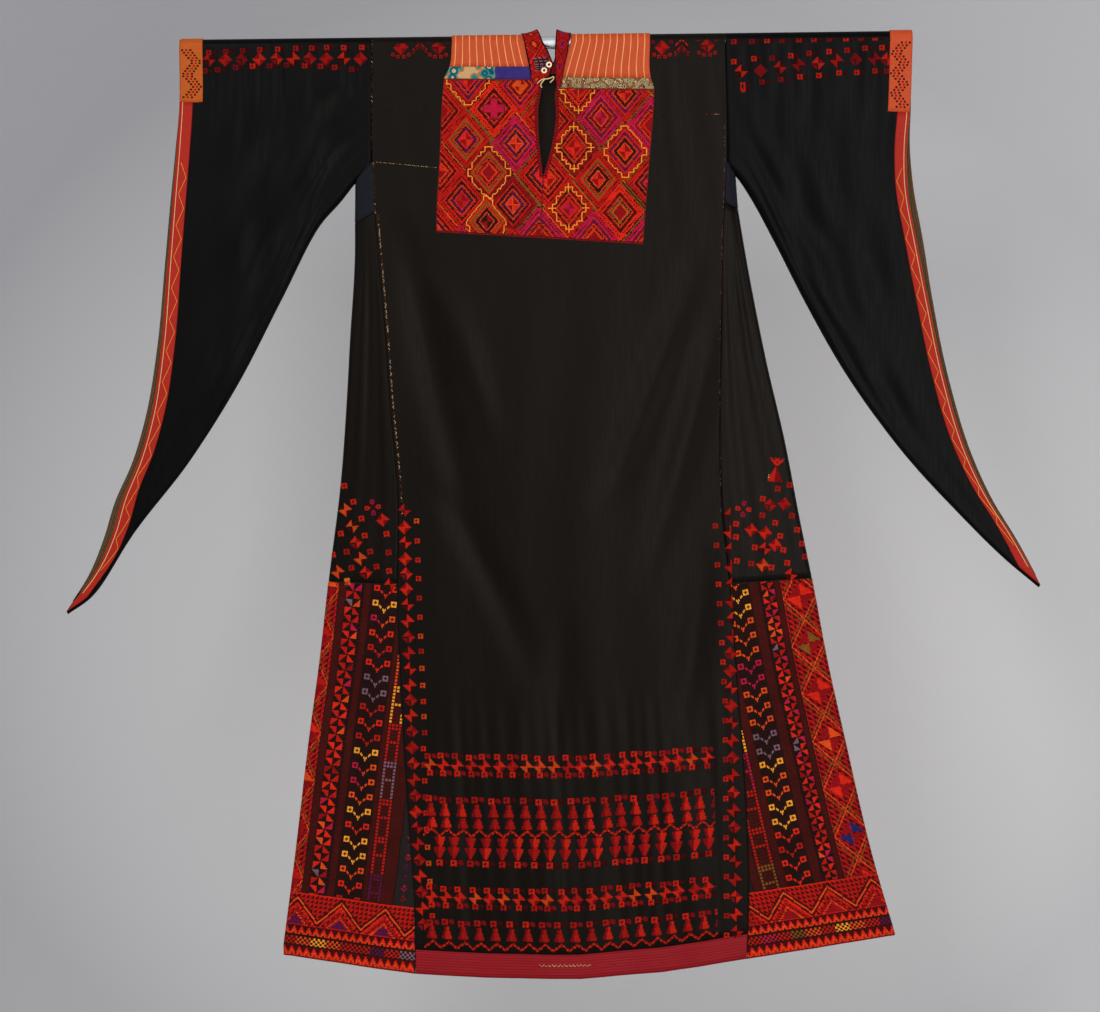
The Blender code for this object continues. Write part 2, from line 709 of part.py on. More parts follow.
def build_front():
    """A piece for each shoulder, the front below them and the band along its hem."""
    lower = []
    bands = []
    for side, word in ((LEFT, "left"), (RIGHT, "right")):
        half = from_left(half_grid(side, FRONT, "hem"), side)
        split = row_number(SHOULDER_FOOT[side][0]) + SHOULDER_FOOT[side][1]
        cloth("front_shoulder_" + word, [pulled_in(half[: split + 1], "b")], "black_satin")
        below = pulled_in(half[split:-1], "tb")
        inner = -1 if side == LEFT else 0
        below[0, inner] = half[split, inner]
        lower.append(below)
        bands.append(pulled_in(half[-2:], "t"))
    cloth("front", lower, "black_satin")
    cloth("hem_band", bands, "crimson_satin")


def build_back():
    """The back's shoulders, whose neck is cut lower than the rod, the back below them and the
    facing inside its hem."""
    left = half_grid(LEFT, BACK, "hem")
    right = half_grid(RIGHT, BACK, "hem")[:, ::-1]
    whole = []
    for from_seam, to_seam in zip(left, right):
        start, end = from_seam[-1], to_seam[0]
        between = []
        for step in range(1, NECK_CELLS):
            share = step / NECK_CELLS
            x, z = lerp(start[0], end[0], share), lerp(start[2], end[2], share)
            between.append(body_point(x, ARC - z) if z <= 0 else lerp(start, end, share))
        whole.append([*from_seam, *between, *to_seam])
    whole = np.array(whole)[:, ::-1]
    middle = SEAM_CELLS + CHEST_CELLS
    open_cells = {
        (r, c) for r in range(row_number("yoke foot")) for c in range(middle, middle + NECK_CELLS)
    }
    split = row_number("slit foot")
    shoulders = pulled_in(whole[: split + 1], "b")
    cloth("back_shoulders", [shoulders], "black_satin", skip=open_cells)
    cloth("back", [pulled_in(whole[split:], "t")], "black_satin")
    inside = raised(whole[-2:], -(CLOTH + GAP))
    way = inside[1] - inside[0]
    way /= np.linalg.norm(way, axis=1, keepdims=True)
    foot = inside[1] + way * FACING_LENGTH
    head = foot - way * FACING_HEAD
    facing = pulled_in(np.array([head, foot]), "lr", by=4.0)
    cloth("back_hem_facing", [facing], "brown_cotton")


def build_chest():
    """The yoke over each shoulder, the printed strip below it and the embroidered chest."""
    layer = CLOTH + GAP
    names = {LEFT: "left", RIGHT: "right"}
    for side, word in names.items():
        front = from_left(half_grid(side, FRONT, "chest foot"), side)
        columns = slice(SEAM_CELLS, None) if side == LEFT else slice(None, CHEST_CELLS + 1)
        outer = raised(front, layer)[:, columns]
        foot, strip, chest = (
            row_number(name) for name in ("yoke foot", "strip foot", "chest foot")
        )
        back = half_grid(side, BACK, "yoke foot")
        back = back if side == LEFT else back[:, ::-1]
        behind = raised(back, -layer)[:, columns]
        over = np.concatenate([behind[:0:-1], outer[: foot + 1]])
        cloth("yoke_" + word, [pulled_in(over, "b")], "orange_stripe")
        cloth("yoke_strip_" + word, [pulled_in(outer[foot : strip + 1], "tb")], "printed_cotton")
        inner_side = "r" if side == LEFT else "l"
        panel = pulled_in(outer[strip : chest + 1], "t" + inner_side)
        cloth("chest_panel_" + word, [panel], "red_embroidery")


def build_collar():
    for side, word in ((LEFT, "left"), (RIGHT, "right")):
        grid = []
        for line in spread([(line.cells, np.array(line)) for line in COLLAR[side]]):
            _, outer_x, outer_h, inner_x, inner_h, lift = line
            points = []
            for step in range(COLLAR_CELLS + 1):
                share = step / COLLAR_CELLS
                x = lerp(outer_x, inner_x, share)
                h = lerp(outer_h, inner_h, share)
                out = COLLAR_LAYER + lift * share * share
                points.append(body_point(x, h) + outward(x, h) * out)
            grid.append(points)
        grid = np.array(grid)[::-1]
        cloth("collar_" + word, [from_left(grid, side)], "red_embroidery")


def build_buttons():
    for name, (x, z, clearance) in BUTTONS.items():
        button = bmesh.new()
        bmesh.ops.create_cone(
            button,
            cap_ends=True,
            segments=BUTTON_SIDES,
            radius1=BUTTON_RADIUS,
            radius2=BUTTON_RADIUS - 0.6,
            depth=BUTTON_THICKNESS,
        )
        rim = [edge for edge in button.edges if edge.is_manifold and edge.calc_face_angle() > 1.0]
        bmesh.ops.bevel(button, geom=rim, offset=0.3, segments=1, affect="EDGES")
        to_front = Matrix.Rotation(math.pi / 2, 3, "X")
        bmesh.ops.rotate(button, verts=button.verts, cent=(0, 0, 0), matrix=to_front)
        seat = COLLAR_LAYER + CLOTH + 2 * GAP + BUTTON_THICKNESS / 2 + clearance
        centre = body_point(x, z) + outward(x, z) * seat
        bmesh.ops.translate(button, vec=centre, verts=button.verts)
        place(button, name, "button_shell")


def build_sides():
    for side, word in ((LEFT, "left"), (RIGHT, "right")):
        grids = {
            "gusset_": (gusset_grid(side), "navy_cotton"),
            "side_": (gore_grid(side, "gusset foot", "side panel head"), "black_satin"),
            "side_panel_": (gore_grid(side, "side panel head", "hem"), "red_embroidery"),
        }
        for name, (grid, material) in grids.items():
            ends = {"gusset_": "b", "side_": "tb", "side_panel_": "t"}[name]
            grid = pulled_in(grid, ends)
            grid = grid[:, ::-1] if side == LEFT else grid
            cloth(name + word, [grid], material)


def build_sleeves():
    shares = spread(SLEEVE_COLUMNS)
    patch = shares.index(0.88)
    strip = shares.index(0.93)
    front_foot = ARC_CELLS + PATCH_CELLS
    for side, word in ((LEFT, "left"), (RIGHT, "right")):
        grid = sleeve_grid(side)
        grid = grid[:, ::-1] if side == LEFT else grid
        cloth("sleeve_" + word, [grid], "black_satin")
        out = raised(grid, CLOTH + GAP)
        inside = raised(grid, -(CLOTH + GAP))
        last = len(shares) - 1
        patch_columns = slice(0, last - patch + 1) if side == LEFT else slice(patch, None)
        strip_columns = slice(0, last - strip + 1) if side == LEFT else slice(strip, None)
        lower = front_foot + WING_CELLS
        back_lower = lower + TURN_CELLS
        back_foot = back_lower + WING_CELLS
        over = np.concatenate([out[back_foot:-1], out[: front_foot + 1]])
        cloth("cuff_patch_" + word, [pulled_in(over[:, patch_columns], "tb")], "amber_silk")
        front_strip = pulled_in(out[front_foot : lower + 1, strip_columns], "t")
        cloth("cuff_strip_front_" + word, [front_strip], "brick_silk")
        back_strip = pulled_in(out[back_lower : back_foot + 1, strip_columns], "b")
        cloth("cuff_strip_back_" + word, [back_strip], "brick_silk")
        facing = pulled_in(inside[back_lower + 1 : back_foot + 1, strip_columns], "b")
        cloth("cuff_facing_" + word, [facing], "olive_stripe")


def build_rod():
    rod = bmesh.new()
    bmesh.ops.create_cone(
        rod,
        cap_ends=True,
        segments=ROD_SIDES,
        radius1=ROD_RADIUS,
        radius2=ROD_RADIUS,
        depth=ROD_RIGHT - ROD_LEFT,
    )
    quarter_turn = Matrix.Rotation(math.pi / 2, 3, "Y")
    bmesh.ops.rotate(rod, verts=rod.verts, cent=(0, 0, 0), matrix=quarter_turn)
    bmesh.ops.translate(rod, vec=((ROD_LEFT + ROD_RIGHT) / 2, 0, 0), verts=rod.verts)
    obj = place(rod, "rod", "rod_metal")
    obj.data.set_sharp_from_angle(angle=math.radians(40))


def main():
    for obj in list(bpy.data.objects):
        bpy.data.objects.remove(obj, do_unlink=True)
    build_rod()
    build_front()
    build_back()
    build_chest()
    build_collar()
    build_buttons()
    build_sides()
    build_sleeves()


main()
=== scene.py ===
"""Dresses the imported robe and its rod: fine cloth, cross stitch, seams, stage, light and camera."""

import math

import bpy
import numpy as np
from mathutils import Matrix, Vector


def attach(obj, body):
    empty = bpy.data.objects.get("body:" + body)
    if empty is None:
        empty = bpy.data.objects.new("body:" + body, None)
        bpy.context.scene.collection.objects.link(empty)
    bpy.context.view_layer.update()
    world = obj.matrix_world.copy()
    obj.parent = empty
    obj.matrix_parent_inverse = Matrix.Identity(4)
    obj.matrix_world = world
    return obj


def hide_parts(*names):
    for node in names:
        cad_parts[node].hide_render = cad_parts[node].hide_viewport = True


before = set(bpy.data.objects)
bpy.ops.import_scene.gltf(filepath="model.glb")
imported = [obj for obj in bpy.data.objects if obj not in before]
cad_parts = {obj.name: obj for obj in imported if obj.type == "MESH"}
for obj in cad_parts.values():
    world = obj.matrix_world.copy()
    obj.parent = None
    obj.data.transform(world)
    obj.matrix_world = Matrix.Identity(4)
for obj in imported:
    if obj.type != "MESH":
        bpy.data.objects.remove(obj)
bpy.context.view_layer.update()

MM = 0.001  # the surfaces are in millimetres, the meshes in metres
CLOTH, GAP = 1.2, 0.3  # thickness of the cloth, and between sewn pieces
LEFT, RIGHT = -1, 1
FRONT, BACK = -1, 1
SIDES = ((LEFT, "left"), (RIGHT, "right"))
WRAP = 10.2  # radius of the cloth's inner face over the rod
ARC = math.pi * WRAP
STITCH = 1.7  # one cross stitch, in millimetres
LIFT, ROOT = 0.4, 0.3  # how far stitches stand off the cloth, and how deep they go in
SHORTEST = 0.2  # cells with a shorter side hold no stitch
rng = np.random.default_rng(7)


# Curves and surfaces, in millimetres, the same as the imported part's


def curve(table):
    """A smooth curve through a table's rows of key and value, as a function of arrays."""
    keys, values = np.array(sorted(table), dtype=float).T
    slopes = np.gradient(values, keys)
    at = np.linspace(keys[0], keys[-1], 2400)
    row = np.clip(np.searchsorted(keys, at) - 1, 0, len(keys) - 2)
    span = keys[row + 1] - keys[row]
    u = (at - keys[row]) / span
    start, end = values[row], values[row + 1]
    ease = u * u * (3 - 2 * u)
    bend = u * (1 - u) * (slopes[row] * span * (1 - u) - slopes[row + 1] * span * u)
    made = start + (end - start) * ease + bend
    return lambda x: np.interp(x, at, made)


def straight(table):
    keys, values = np.array(sorted(table), dtype=float).T
    return lambda x: np.interp(x, keys, values)


def lerp(start, end, share):
    return start + (end - start) * share


SEAM = {
    LEFT: curve([(0, -262), (-158, -264), (-255, -261), (-426, -248), (-530, -242),
                 (-702, -231), (-805, -234), (-978, -229.5), (-1136, -222.5),
                 (-1276, -214), (-1392, -213)]),
    RIGHT: curve([(0, 264), (-186, 264.5), (-298, 257), (-388, 254.5), (-708, 250.5),
                  (-809, 260), (-984, 271), (-1106, 278.5), (-1282, 282), (-1392, 276)]),
}
SIDE_FOLD = {
    LEFT: curve([(-190, -288.5), (-232, -290), (-321, -291.5), (-440, -300), (-530, -306),
                 (-649, -316), (-797, -336), (-917, -351), (-1036, -368.5),
                 (-1214, -392), (-1341, -410)]),
    RIGHT: curve([(-190, 275.5), (-239, 278.5), (-299, 287), (-388, 302), (-478, 319),
                  (-597, 345), (-717, 366.5), (-806, 383.5), (-926, 404.5), (-1045, 429.5),
                  (-1225, 469.5), (-1337, 500.5)]),
}
SEAM_DEPTH = curve([(0, WRAP), (-185, 9), (-300, 11), (-600, 15), (-1000, 20), (-1392, 25)])
MIDDLE_DEPTH = curve([(0, 0), (-185, 2.5), (-600, 6), (-1000, 8), (-1392, 10)])
FOLD_RADIUS = curve([(-180, 6), (-600, 6.5), (-1392, 9)])
CHEST_EDGE = {
    LEFT: curve([(0, -143), (-37, -147.5), (-54, -155.5), (-66, -157), (-170, -163.5), (-272, -169.5),
                 (-300, -169), (-812, -140), (-1392, -114)]),
    RIGHT: curve([(0, 152), (-56, 152.5), (-73, 157.5), (-86, 157), (-190, 148), (-300, 138.5),
                  (-330, 137), (-812, 136), (-1392, 154)]),
}
SLIT_EDGE = {
    LEFT: curve([(0, -35), (-37, -24), (-56, -13), (-102, -16), (-150, -15), (-202, -10)]),
    RIGHT: curve([(0, 34), (-53, 17), (-69, 11), (-112, 10.5), (-158, 3), (-202, -10)]),
}
MIDDLE_LINE = curve([(-202, -10), (-293, -14), (-812, 13), (-1392, 31)])
BACK_NECK_EDGE = {
    LEFT: curve([(0, -35), (-45, -30), (-812, -25), (-1392, -10)]),
    RIGHT: curve([(0, 34), (-45, 30), (-812, 50), (-1392, 72)]),
}
# Rows of the body: cells from the row above, heights at the left seam, the slit's left and
# right edges and the right seam, and the rise at a gore's fold on each side
ROWS = {
    "rod level": (0, 0, 0, 0, 0, 0, 0),
    "yoke foot": (1, -34, -37, -53, -59, 0, 0),
    "strip foot": (1, -51, -56, -69, -75, 0, 0),
    "slit foot": (3, -182, -202, -202, -188, -22, -12),
    "gusset foot": (1, -250, -250, -250, -242, -14, -7),
    "chest foot": (1, -274, -293, -293, -312, -8, -4),
    "side panel head": (9, -805, -812, -812, -809, 6, 6),
    "hem band head": (10, -1347, -1356, -1356, -1330, 26, 26),
    "hem": (1, -1383, -1392, -1392, -1367, 27, 29),
}
SEAM_CELLS, CHEST_CELLS = 4, 4
ROD_ROWS = 8  # rows of cells over the front's quarter of the rod
CHEST_SHARE = 0.42
CHEST_FOOT_Z, HEM_Z = -293, -1392
# Head across and down, middle across, foot across and down, width, depth
FRONT_FOLDS = [
    (-222, -250, -172, -116, -760, 24, 7),
    (-176, -330, -120, -84, -620, 20, -3.5),
    (-186, -640, -92, -38, -960, 24, 5),
    (226, -300, 150, 66, -720, 24, 6.5),
    (252, -380, 196, 126, -830, 22, 6),
    (224, -740, 206, 170, -1060, 24, 5.5),
    (14, -840, 8, -6, -1080, 22, 3),
    (-130, -1010, -128, -120, -1460, 26, 4.5),
    (-20, -1060, -16, -12, -1460, 24, -3.5),
    (90, -1030, 96, 104, -1460, 26, 4.5),
    (200, -1090, 204, 206, -1460, 22, -3.5),
]
BACK_FOLDS = [
    (-214, -230, -150, -96, -800, 26, 6.5),
    (-60, -300, -66, -58, -900, 30, -4),
    (206, -250, 160, 92, -760, 26, 6.5),
    (30, -560, 34, 44, -1150, 28, 5),
    (-150, -840, -156, -160, -1460, 28, 5),
    (176, -800, 190, 200, -1460, 28, 5.5),
    (120, -960, 120, 118, -1460, 24, -4),
    (-40, -1000, -44, -50, -1460, 26, -4),
]
# Side, face, share of the way from the seam to the fold, head, foot, width, depth
CREASES = [
    (LEFT, FRONT, 0.45, -260, -860, 0.20, 2.5),
    (RIGHT, FRONT, 0.40, -260, -880, 0.20, 2.5),
    (LEFT, FRONT, 0.62, -760, -1450, 0.16, 4),
    (LEFT, FRONT, 0.30, -900, -1450, 0.14, -3),
    (RIGHT, FRONT, 0.66, -800, -1450, 0.15, 4),
    (RIGHT, FRONT, 0.28, -760, -1450, 0.14, 4),
    (LEFT, BACK, 0.40, -300, -1000, 0.20, 3),
    (RIGHT, BACK, 0.50, -300, -1000, 0.20, 3),
    (LEFT, BACK, 0.60, -860, -1450, 0.16, 4),
    (RIGHT, BACK, 0.35, -860, -1450, 0.16, 4),
]
OPENING_ROWS = {
    LEFT: [(0, -549), (-83, -552), (-154, -559), (-228, -567), (-318, -576),
           (-452, -590), (-556, -609), (-623, -630), (-675, -654), (-734, -673),
           (-786, -695), (-840, -730)],
    RIGHT: [(0, 543), (-108, 541), (-153, 539), (-212, 542.5), (-302, 557),
            (-391, 570), (-511, 593), (-631, 628.5), (-691, 655.5), (-751, 691),
            (-818, 726)],
}
OPENING = {side: curve(rows) for side, rows in OPENING_ROWS.items()}
LOWER_ROWS = {
    LEFT: [(-264, -181), (-289, -204), (-311, -232), (-344, -270),
           (-400, -377), (-462, -497), (-536, -616), (-627, -735),
           (-685, -824), (-722, -852)],
    RIGHT: [(264.5, -187), (283.5, -209), (302.5, -240), (333, -299),
            (377, -389), (425, -479), (505, -599), (609, -720),
            (668, -781), (720, -827)],
}
LOWER_SEAM = {side: curve(rows) for side, rows in LOWER_ROWS.items()}
BACK_PEEK = {
    LEFT: curve([(0, 0), (0.12, 3), (0.5, 7), (0.72, 10), (0.9, 11), (1, 2)]),
    RIGHT: curve([(0, 0), (0.15, 4), (0.3, 12), (0.5, 8), (0.8, 7), (1, 2)]),
}
PEEK_POWER = 6
SLEEVE_TURN = curve([(0, 9), (0.3, 6), (1, 3.5)])
UPRIGHT_UNTIL = 0.1
PATCH_FOOT = {LEFT: -83, RIGHT: -112.0}
PATCH_FOOT_AT_ARMHOLE = -60.0
PIT_COLUMN = 0.055
# Face, row share where the fold starts at the armhole and ends at the opening, width, depth
SLEEVE_FOLDS = {
    LEFT: [
        (FRONT, 0.10, 0.28, 0.07, 2.5),
        (FRONT, 0.55, 0.50, 0.08, 3),
        (FRONT, 0.85, 0.72, 0.06, -2),
        (BACK, 0.30, 0.40, 0.08, 3),
        (BACK, 0.75, 0.66, 0.08, 2.5),
    ],
    RIGHT: [
        (FRONT, 0.15, 0.22, 0.07, 2.5),
        (FRONT, 0.60, 0.44, 0.08, 3),
        (FRONT, 0.80, 0.70, 0.06, -2),
        (BACK, 0.25, 0.36, 0.08, 3),
        (BACK, 0.70, 0.62, 0.08, 2.5),
    ],
}
GUSSET_CLEARANCE = 3.0
FACING_LENGTH, FACING_HEAD = 7, 42.0


def fold_height(folds, x, z):
    total = np.zeros(np.broadcast(x, z).shape)
    for x_head, z_head, x_mid, x_foot, z_foot, width, depth in folds:
        down = np.clip((z_head - z) / (z_head - z_foot), 0, 1)
        bow = x_mid - (x_head + x_foot) / 2
        away = (x - lerp(x_head, x_foot, down) - 4 * bow * down * (1 - down)) / width
        total = total + depth * np.sin(math.pi * down) * np.exp(-away * away)
    return total


def window(value, start, end, soft):
    """1 between start and end, falling to 0 over a soft distance inside them."""
    return np.clip((value - start) / soft, 0, 1) * np.clip((end - value) / soft, 0, 1)


def puckers(x, z):
    """Small uneven upright puckers, where the hem's bands of stitches draw the cloth up."""
    wave = (
        np.sin(x / 3.9 + 1.3 * np.sin(x / 21.0) + z / 90)
        + 0.8 * np.sin(x / 5.7 + 2.0 + z / 140)
        + 0.9 * np.sin(x / 9.4 + 0.7 - z / 110)
    )
    return 0.34 * wave * window(z, -1360, -960, 60) * window(x, -225, 272, 20)


def drape(x, z):
    """Long shallow unevenness of hanging satin."""
    broad = 0.55 * np.sin(x / 17 + 1.2 * np.sin(z / 170) + 1) * window(z, -1392, -300, 120)
    fine = 0.5 * np.sin(x / 9.5 + z / 60) * window(z, -300, -20, 60)
    return broad + fine * window(np.abs(x), 165, 262, 16)


def body_depth(x, z):
    left, right = SEAM[LEFT](z), SEAM[RIGHT](z)
    across = (2 * x - left - right) / (right - left)
    return SEAM_DEPTH(z) + MIDDLE_DEPTH(z) * np.maximum(0.0, 1 - across * across)


def body(x, h):
    """The cloth's inner face: h is the height in front, runs over the rod to ARC, then down the back."""
    x, h = np.broadcast_arrays(np.asarray(x, float), np.asarray(h, float))
    front_z = np.minimum(h, 0)
    front_y = fold_height(FRONT_FOLDS, x, front_z) + puckers(x, front_z) + drape(x, front_z)
    front_y = front_y - body_depth(x, front_z)
    turn = np.clip(h, 0, ARC) / WRAP
    back_z = np.minimum(ARC - h, 0)
    back_y = body_depth(x, back_z) - fold_height(BACK_FOLDS, x, back_z) - drape(x + 40, back_z)
    y = np.where(h <= 0, front_y, np.where(h < ARC, -WRAP * np.cos(turn), back_y))
    z = np.where(h <= 0, h, np.where(h < ARC, WRAP * np.sin(turn), back_z))
    return np.stack([x, y, z], axis=-1)


def spread(keys):
    found = [keys[0][1]]
    for (_, start), (cells, end) in zip(keys, keys[1:]):
        found += [lerp(start, end, step / cells) for step in range(1, cells + 1)]
    return found


def body_rows(first, last, finer):
    names = list(ROWS)
    start, end = names.index(first), names.index(last)
    keys = [(0, np.array(ROWS[first][1:], float))]
    keys += [(ROWS[name][0] * finer, np.array(ROWS[name][1:], float)) for name in names[start + 1 : end + 1]]
    return spread(keys)


def half_points(side, face, row):
    """(x, z) at the seam, the chest edge and the slit or neck in one row."""
    seam_z, inner_z = (row[0], row[1]) if side == LEFT else (row[3], row[2])
    if face == BACK:
        inner_z = (row[1] + row[2]) / 2
    sag = max(0.0, (inner_z - CHEST_FOOT_Z) / (HEM_Z - CHEST_FOOT_Z))
    edge_z = lerp(seam_z, inner_z, CHEST_SHARE + sag * CHEST_SHARE * (1 - CHEST_SHARE))
    if face == BACK:
        inner_x = BACK_NECK_EDGE[side](inner_z)
    elif inner_z < -202:
        inner_x = MIDDLE_LINE(inner_z)
    else:
        inner_x = SLIT_EDGE[side](inner_z)
    return [
        np.array([SEAM[side](seam_z) - side * GAP / 2, seam_z]),
        np.array([CHEST_EDGE[side](edge_z), edge_z]),
        np.array([inner_x, inner_z]),
    ]


def half_grid(side, face, last, down, across):
    """The front's or back's grid on one side, with finer cells than the part's."""

    def line(row):
        seam, edge, inner = half_points(side, face, row)
        return np.array(spread([(0, seam), (SEAM_CELLS * across, edge), (CHEST_CELLS * across, inner)]))

    rod_line = line(np.zeros(6))
    arc = np.linspace(ARC / 2, ARC if face == BACK else 0.0, ROD_ROWS + 1)[:-1]
    plan = [(rod_line[:, 0], np.full(len(rod_line), h)) for h in arc]
    for row in body_rows("rod level", last, down):
        points = line(row)
        plan.append((points[:, 0], points[:, 1] if face == FRONT else ARC - points[:, 1]))
    return np.array([body(x, h) for x, h in plan])


def body_row_number(name, down):
    return ROD_ROWS + len(body_rows("rod level", name, down)) - 1


def normals(grid):
    """Directions out of a grid whose rows run down and whose points run right in front."""
    down = np.gradient(grid, axis=0)
    right = np.gradient(grid, axis=1)
    normal = np.cross(down, right)
    size = np.linalg.norm(normal, axis=2, keepdims=True)
    return normal / np.where(size > 1e-9, size, 1)


def raised(grid, distance):
    return grid + normals(grid) * distance


RISE = {
    LEFT: straight([(ROWS[n][1], ROWS[n][5]) for n in list(ROWS)[3:]]),
    RIGHT: straight([(ROWS[n][4], ROWS[n][6]) for n in list(ROWS)[3:]]),
}


def crease_height(side, face, across, z):
    total = np.zeros(np.broadcast(across, z).shape)
    for its_side, its_face, middle, head, foot, width, depth in CREASES:
        if (its_side, its_face) == (side, face):
            down = np.clip((head - z) / (head - foot), 0, 1)
            total = total + depth * np.sin(math.pi * down) * np.exp(-(((across - middle) / width) ** 2))
    wave = 0.5 * np.sin(across * 21 + z / 120) * window(z, -1400, -300, 100)
    edge = np.minimum(1.0, np.minimum(6 * across, 6 * (1 - across)))
    return (total + wave) * edge


def gore_frame(side, seam_z):
    """A row's rise at the fold, the fold's radius, and x at the seam and where the fold's bend starts."""
    rise = RISE[side](seam_z)
    radius = FOLD_RADIUS(seam_z)
    seam_x = SEAM[side](seam_z) + side * GAP / 2
    return rise, radius, seam_x, SIDE_FOLD[side](seam_z + rise) - side * radius


def gore_width(side, seam_z):
    """Length along the cloth from the fold's outermost line to the seam."""
    _, radius, seam_x, flat_x = gore_frame(side, seam_z)
    return radius * math.pi / 2 + side * (flat_x - seam_x)


def gore(side, u, seam_z):
    """A point of a side gore: u runs along the cloth from the fold, up to the front seam
    where it is positive and to the back seam where it is negative."""
    u, seam_z = np.broadcast_arrays(np.asarray(u, float), np.asarray(seam_z, float))
    rise, radius, seam_x, flat_x = gore_frame(side, seam_z)
    face = np.where(u >= 0, -1.0, 1.0)
    turn = radius * math.pi / 2
    across = np.clip(1 - (np.abs(u) - turn) / (side * (flat_x - seam_x)), 0, 1)
    angle = np.minimum(np.abs(u), turn) / radius
    z = seam_z + rise * across
    crease = np.where(u >= 0, crease_height(side, FRONT, across, z), crease_height(side, BACK, across, z))
    depth = lerp(SEAM_DEPTH(seam_z), radius, across * across) - crease
    on_turn = np.abs(u) < turn
    x = np.where(on_turn, flat_x + side * radius * np.cos(angle), lerp(seam_x, flat_x, across))
    y = face * np.where(on_turn, radius * np.sin(angle), depth)
    return np.stack([x, y, z], axis=-1)


def gore_grid(side, first, last, down, across):
    """Rows down, points from the front seam round the fold to the back seam."""
    grid = []
    for row in body_rows(first, last, down):
        seam_z = row[0] if side == LEFT else row[3]
        width = gore_width(side, seam_z)
        turn = FOLD_RADIUS(seam_z) * math.pi / 2
        flat = np.linspace(width, turn, across + 1)
        bend = np.linspace(turn, -turn, 13)[1:-1]
        grid.append(gore(side, np.concatenate([flat, bend, -flat[::-1]]), seam_z))
    return np.array(grid)


def lower_seam(side, share):
    start, end = LOWER_ROWS[side][0][0], LOWER_ROWS[side][-1][0]
    x = lerp(start, end, share)
    slope = (LOWER_SEAM[side](x + 1) - LOWER_SEAM[side](x - 1)) / 2
    size = np.hypot(slope, 1.0)
    mix = np.minimum(1.0, share / UPRIGHT_UNTIL)
    in_x, in_z = -slope / size * mix, lerp(1.0, 1 / size, mix)
    length = np.hypot(in_x, in_z)
    return x, LOWER_SEAM[side](x), in_x / length, in_z / length


def sleeve_row(side, t):
    """Heights at the armhole and at the opening; t is 0 on the rod, 1 at the patch's foot, 2 at the tip."""
    foot = LOWER_ROWS[side][0][1] + 9.0
    tip = OPENING_ROWS[side][-1][0]
    armhole = np.interp(t, [0, 1, 2], [0, PATCH_FOOT_AT_ARMHOLE, foot])
    return armhole, np.interp(t, [0, 1, 2], [0, PATCH_FOOT[side], tip])


def wrinkles(side, face, share, down):
    """Soft slanting wrinkles of a sleeve."""
    shape = np.sin(math.pi * np.clip(share, 0, 1)) * np.sin(math.pi * np.clip(down, 0, 1)) ** 0.5
    wave = np.sin(share * 19 - down * 15 + side) + 0.7 * np.sin(share * 33 + down * 9 + 2 * face)
    top = np.exp(-down * 9) * (1 - np.exp(-down * 40))
    gathers = np.sin(share * 46 + 2 * np.sin(share * 11)) + np.sin(share * 71 + side)
    return 1.4 * (0.75 * wave * shape + 0.8 * gathers * top * window(share, 0.0, 1.0, 0.08))


def sleeve(side, face, share, t):
    """A point of a sleeve's front or back layer."""
    share, t = np.broadcast_arrays(np.asarray(share, float), np.asarray(t, float))
    armhole_z, opening_z = sleeve_row(side, t)
    tip_z = OPENING_ROWS[side][-1][0]
    down = opening_z / tip_z
    peek = BACK_PEEK[side](down)
    armhole_x = SEAM[side](armhole_z) + side * GAP / 2
    opening_x = OPENING[side](opening_z) - side * peek
    head_x = SEAM[side](0) + side * GAP / 2
    cuff_x = OPENING[side](0)
    places = []
    for at in (share, 0.0, 1.0):
        x, z, in_x, in_z = lower_seam(side, np.asarray(at, float))
        drop = SLEEVE_TURN(at)
        places.append((x + in_x * drop, z + in_z * drop))
    (seam_x, seam_z), (pit_x, pit_z), (end_x, end_z) = places
    top_x = lerp(head_x, cuff_x, share)
    x = (
        lerp(armhole_x, opening_x, share)
        + lerp(top_x, seam_x, down)
        - lerp(top_x, lerp(pit_x, end_x, share), down)
    )
    z = lerp(armhole_z, opening_z, share) + seam_z * down - lerp(pit_z, end_z, share) * down
    if face == BACK:
        x = x + side * peek * share**PEEK_POWER
    thin = SLEEVE_TURN(share)
    depth = lerp(SEAM_DEPTH(armhole_z), thin + (WRAP - thin) * (1 - down) ** 1.3, share)
    for its_face, start, end, width, fold in SLEEVE_FOLDS[side]:
        if its_face == face:
            away = (down - lerp(start, end, share)) / width
            depth = depth - fold * np.sin(math.pi * share) * np.sin(math.pi * down) * np.exp(-away * away)
    depth = depth - wrinkles(side, face, share, down)
    return np.stack([x, face * np.maximum(depth, 1.6), z], axis=-1)


SLEEVE_SHARES = {
    "pit": 4, "wing": 56, "patch": 5, "strip": 7
}


def sleeve_shares():
    s = SLEEVE_SHARES
    marks = [(0, 0.0), (s["pit"], PIT_COLUMN), (s["wing"], 0.88), (s["patch"], 0.93), (s["strip"], 1.0)]
    return np.array(spread(marks))


PATCH_ROWS, WING_ROWS, TURN_ROWS = 14, 86, 8


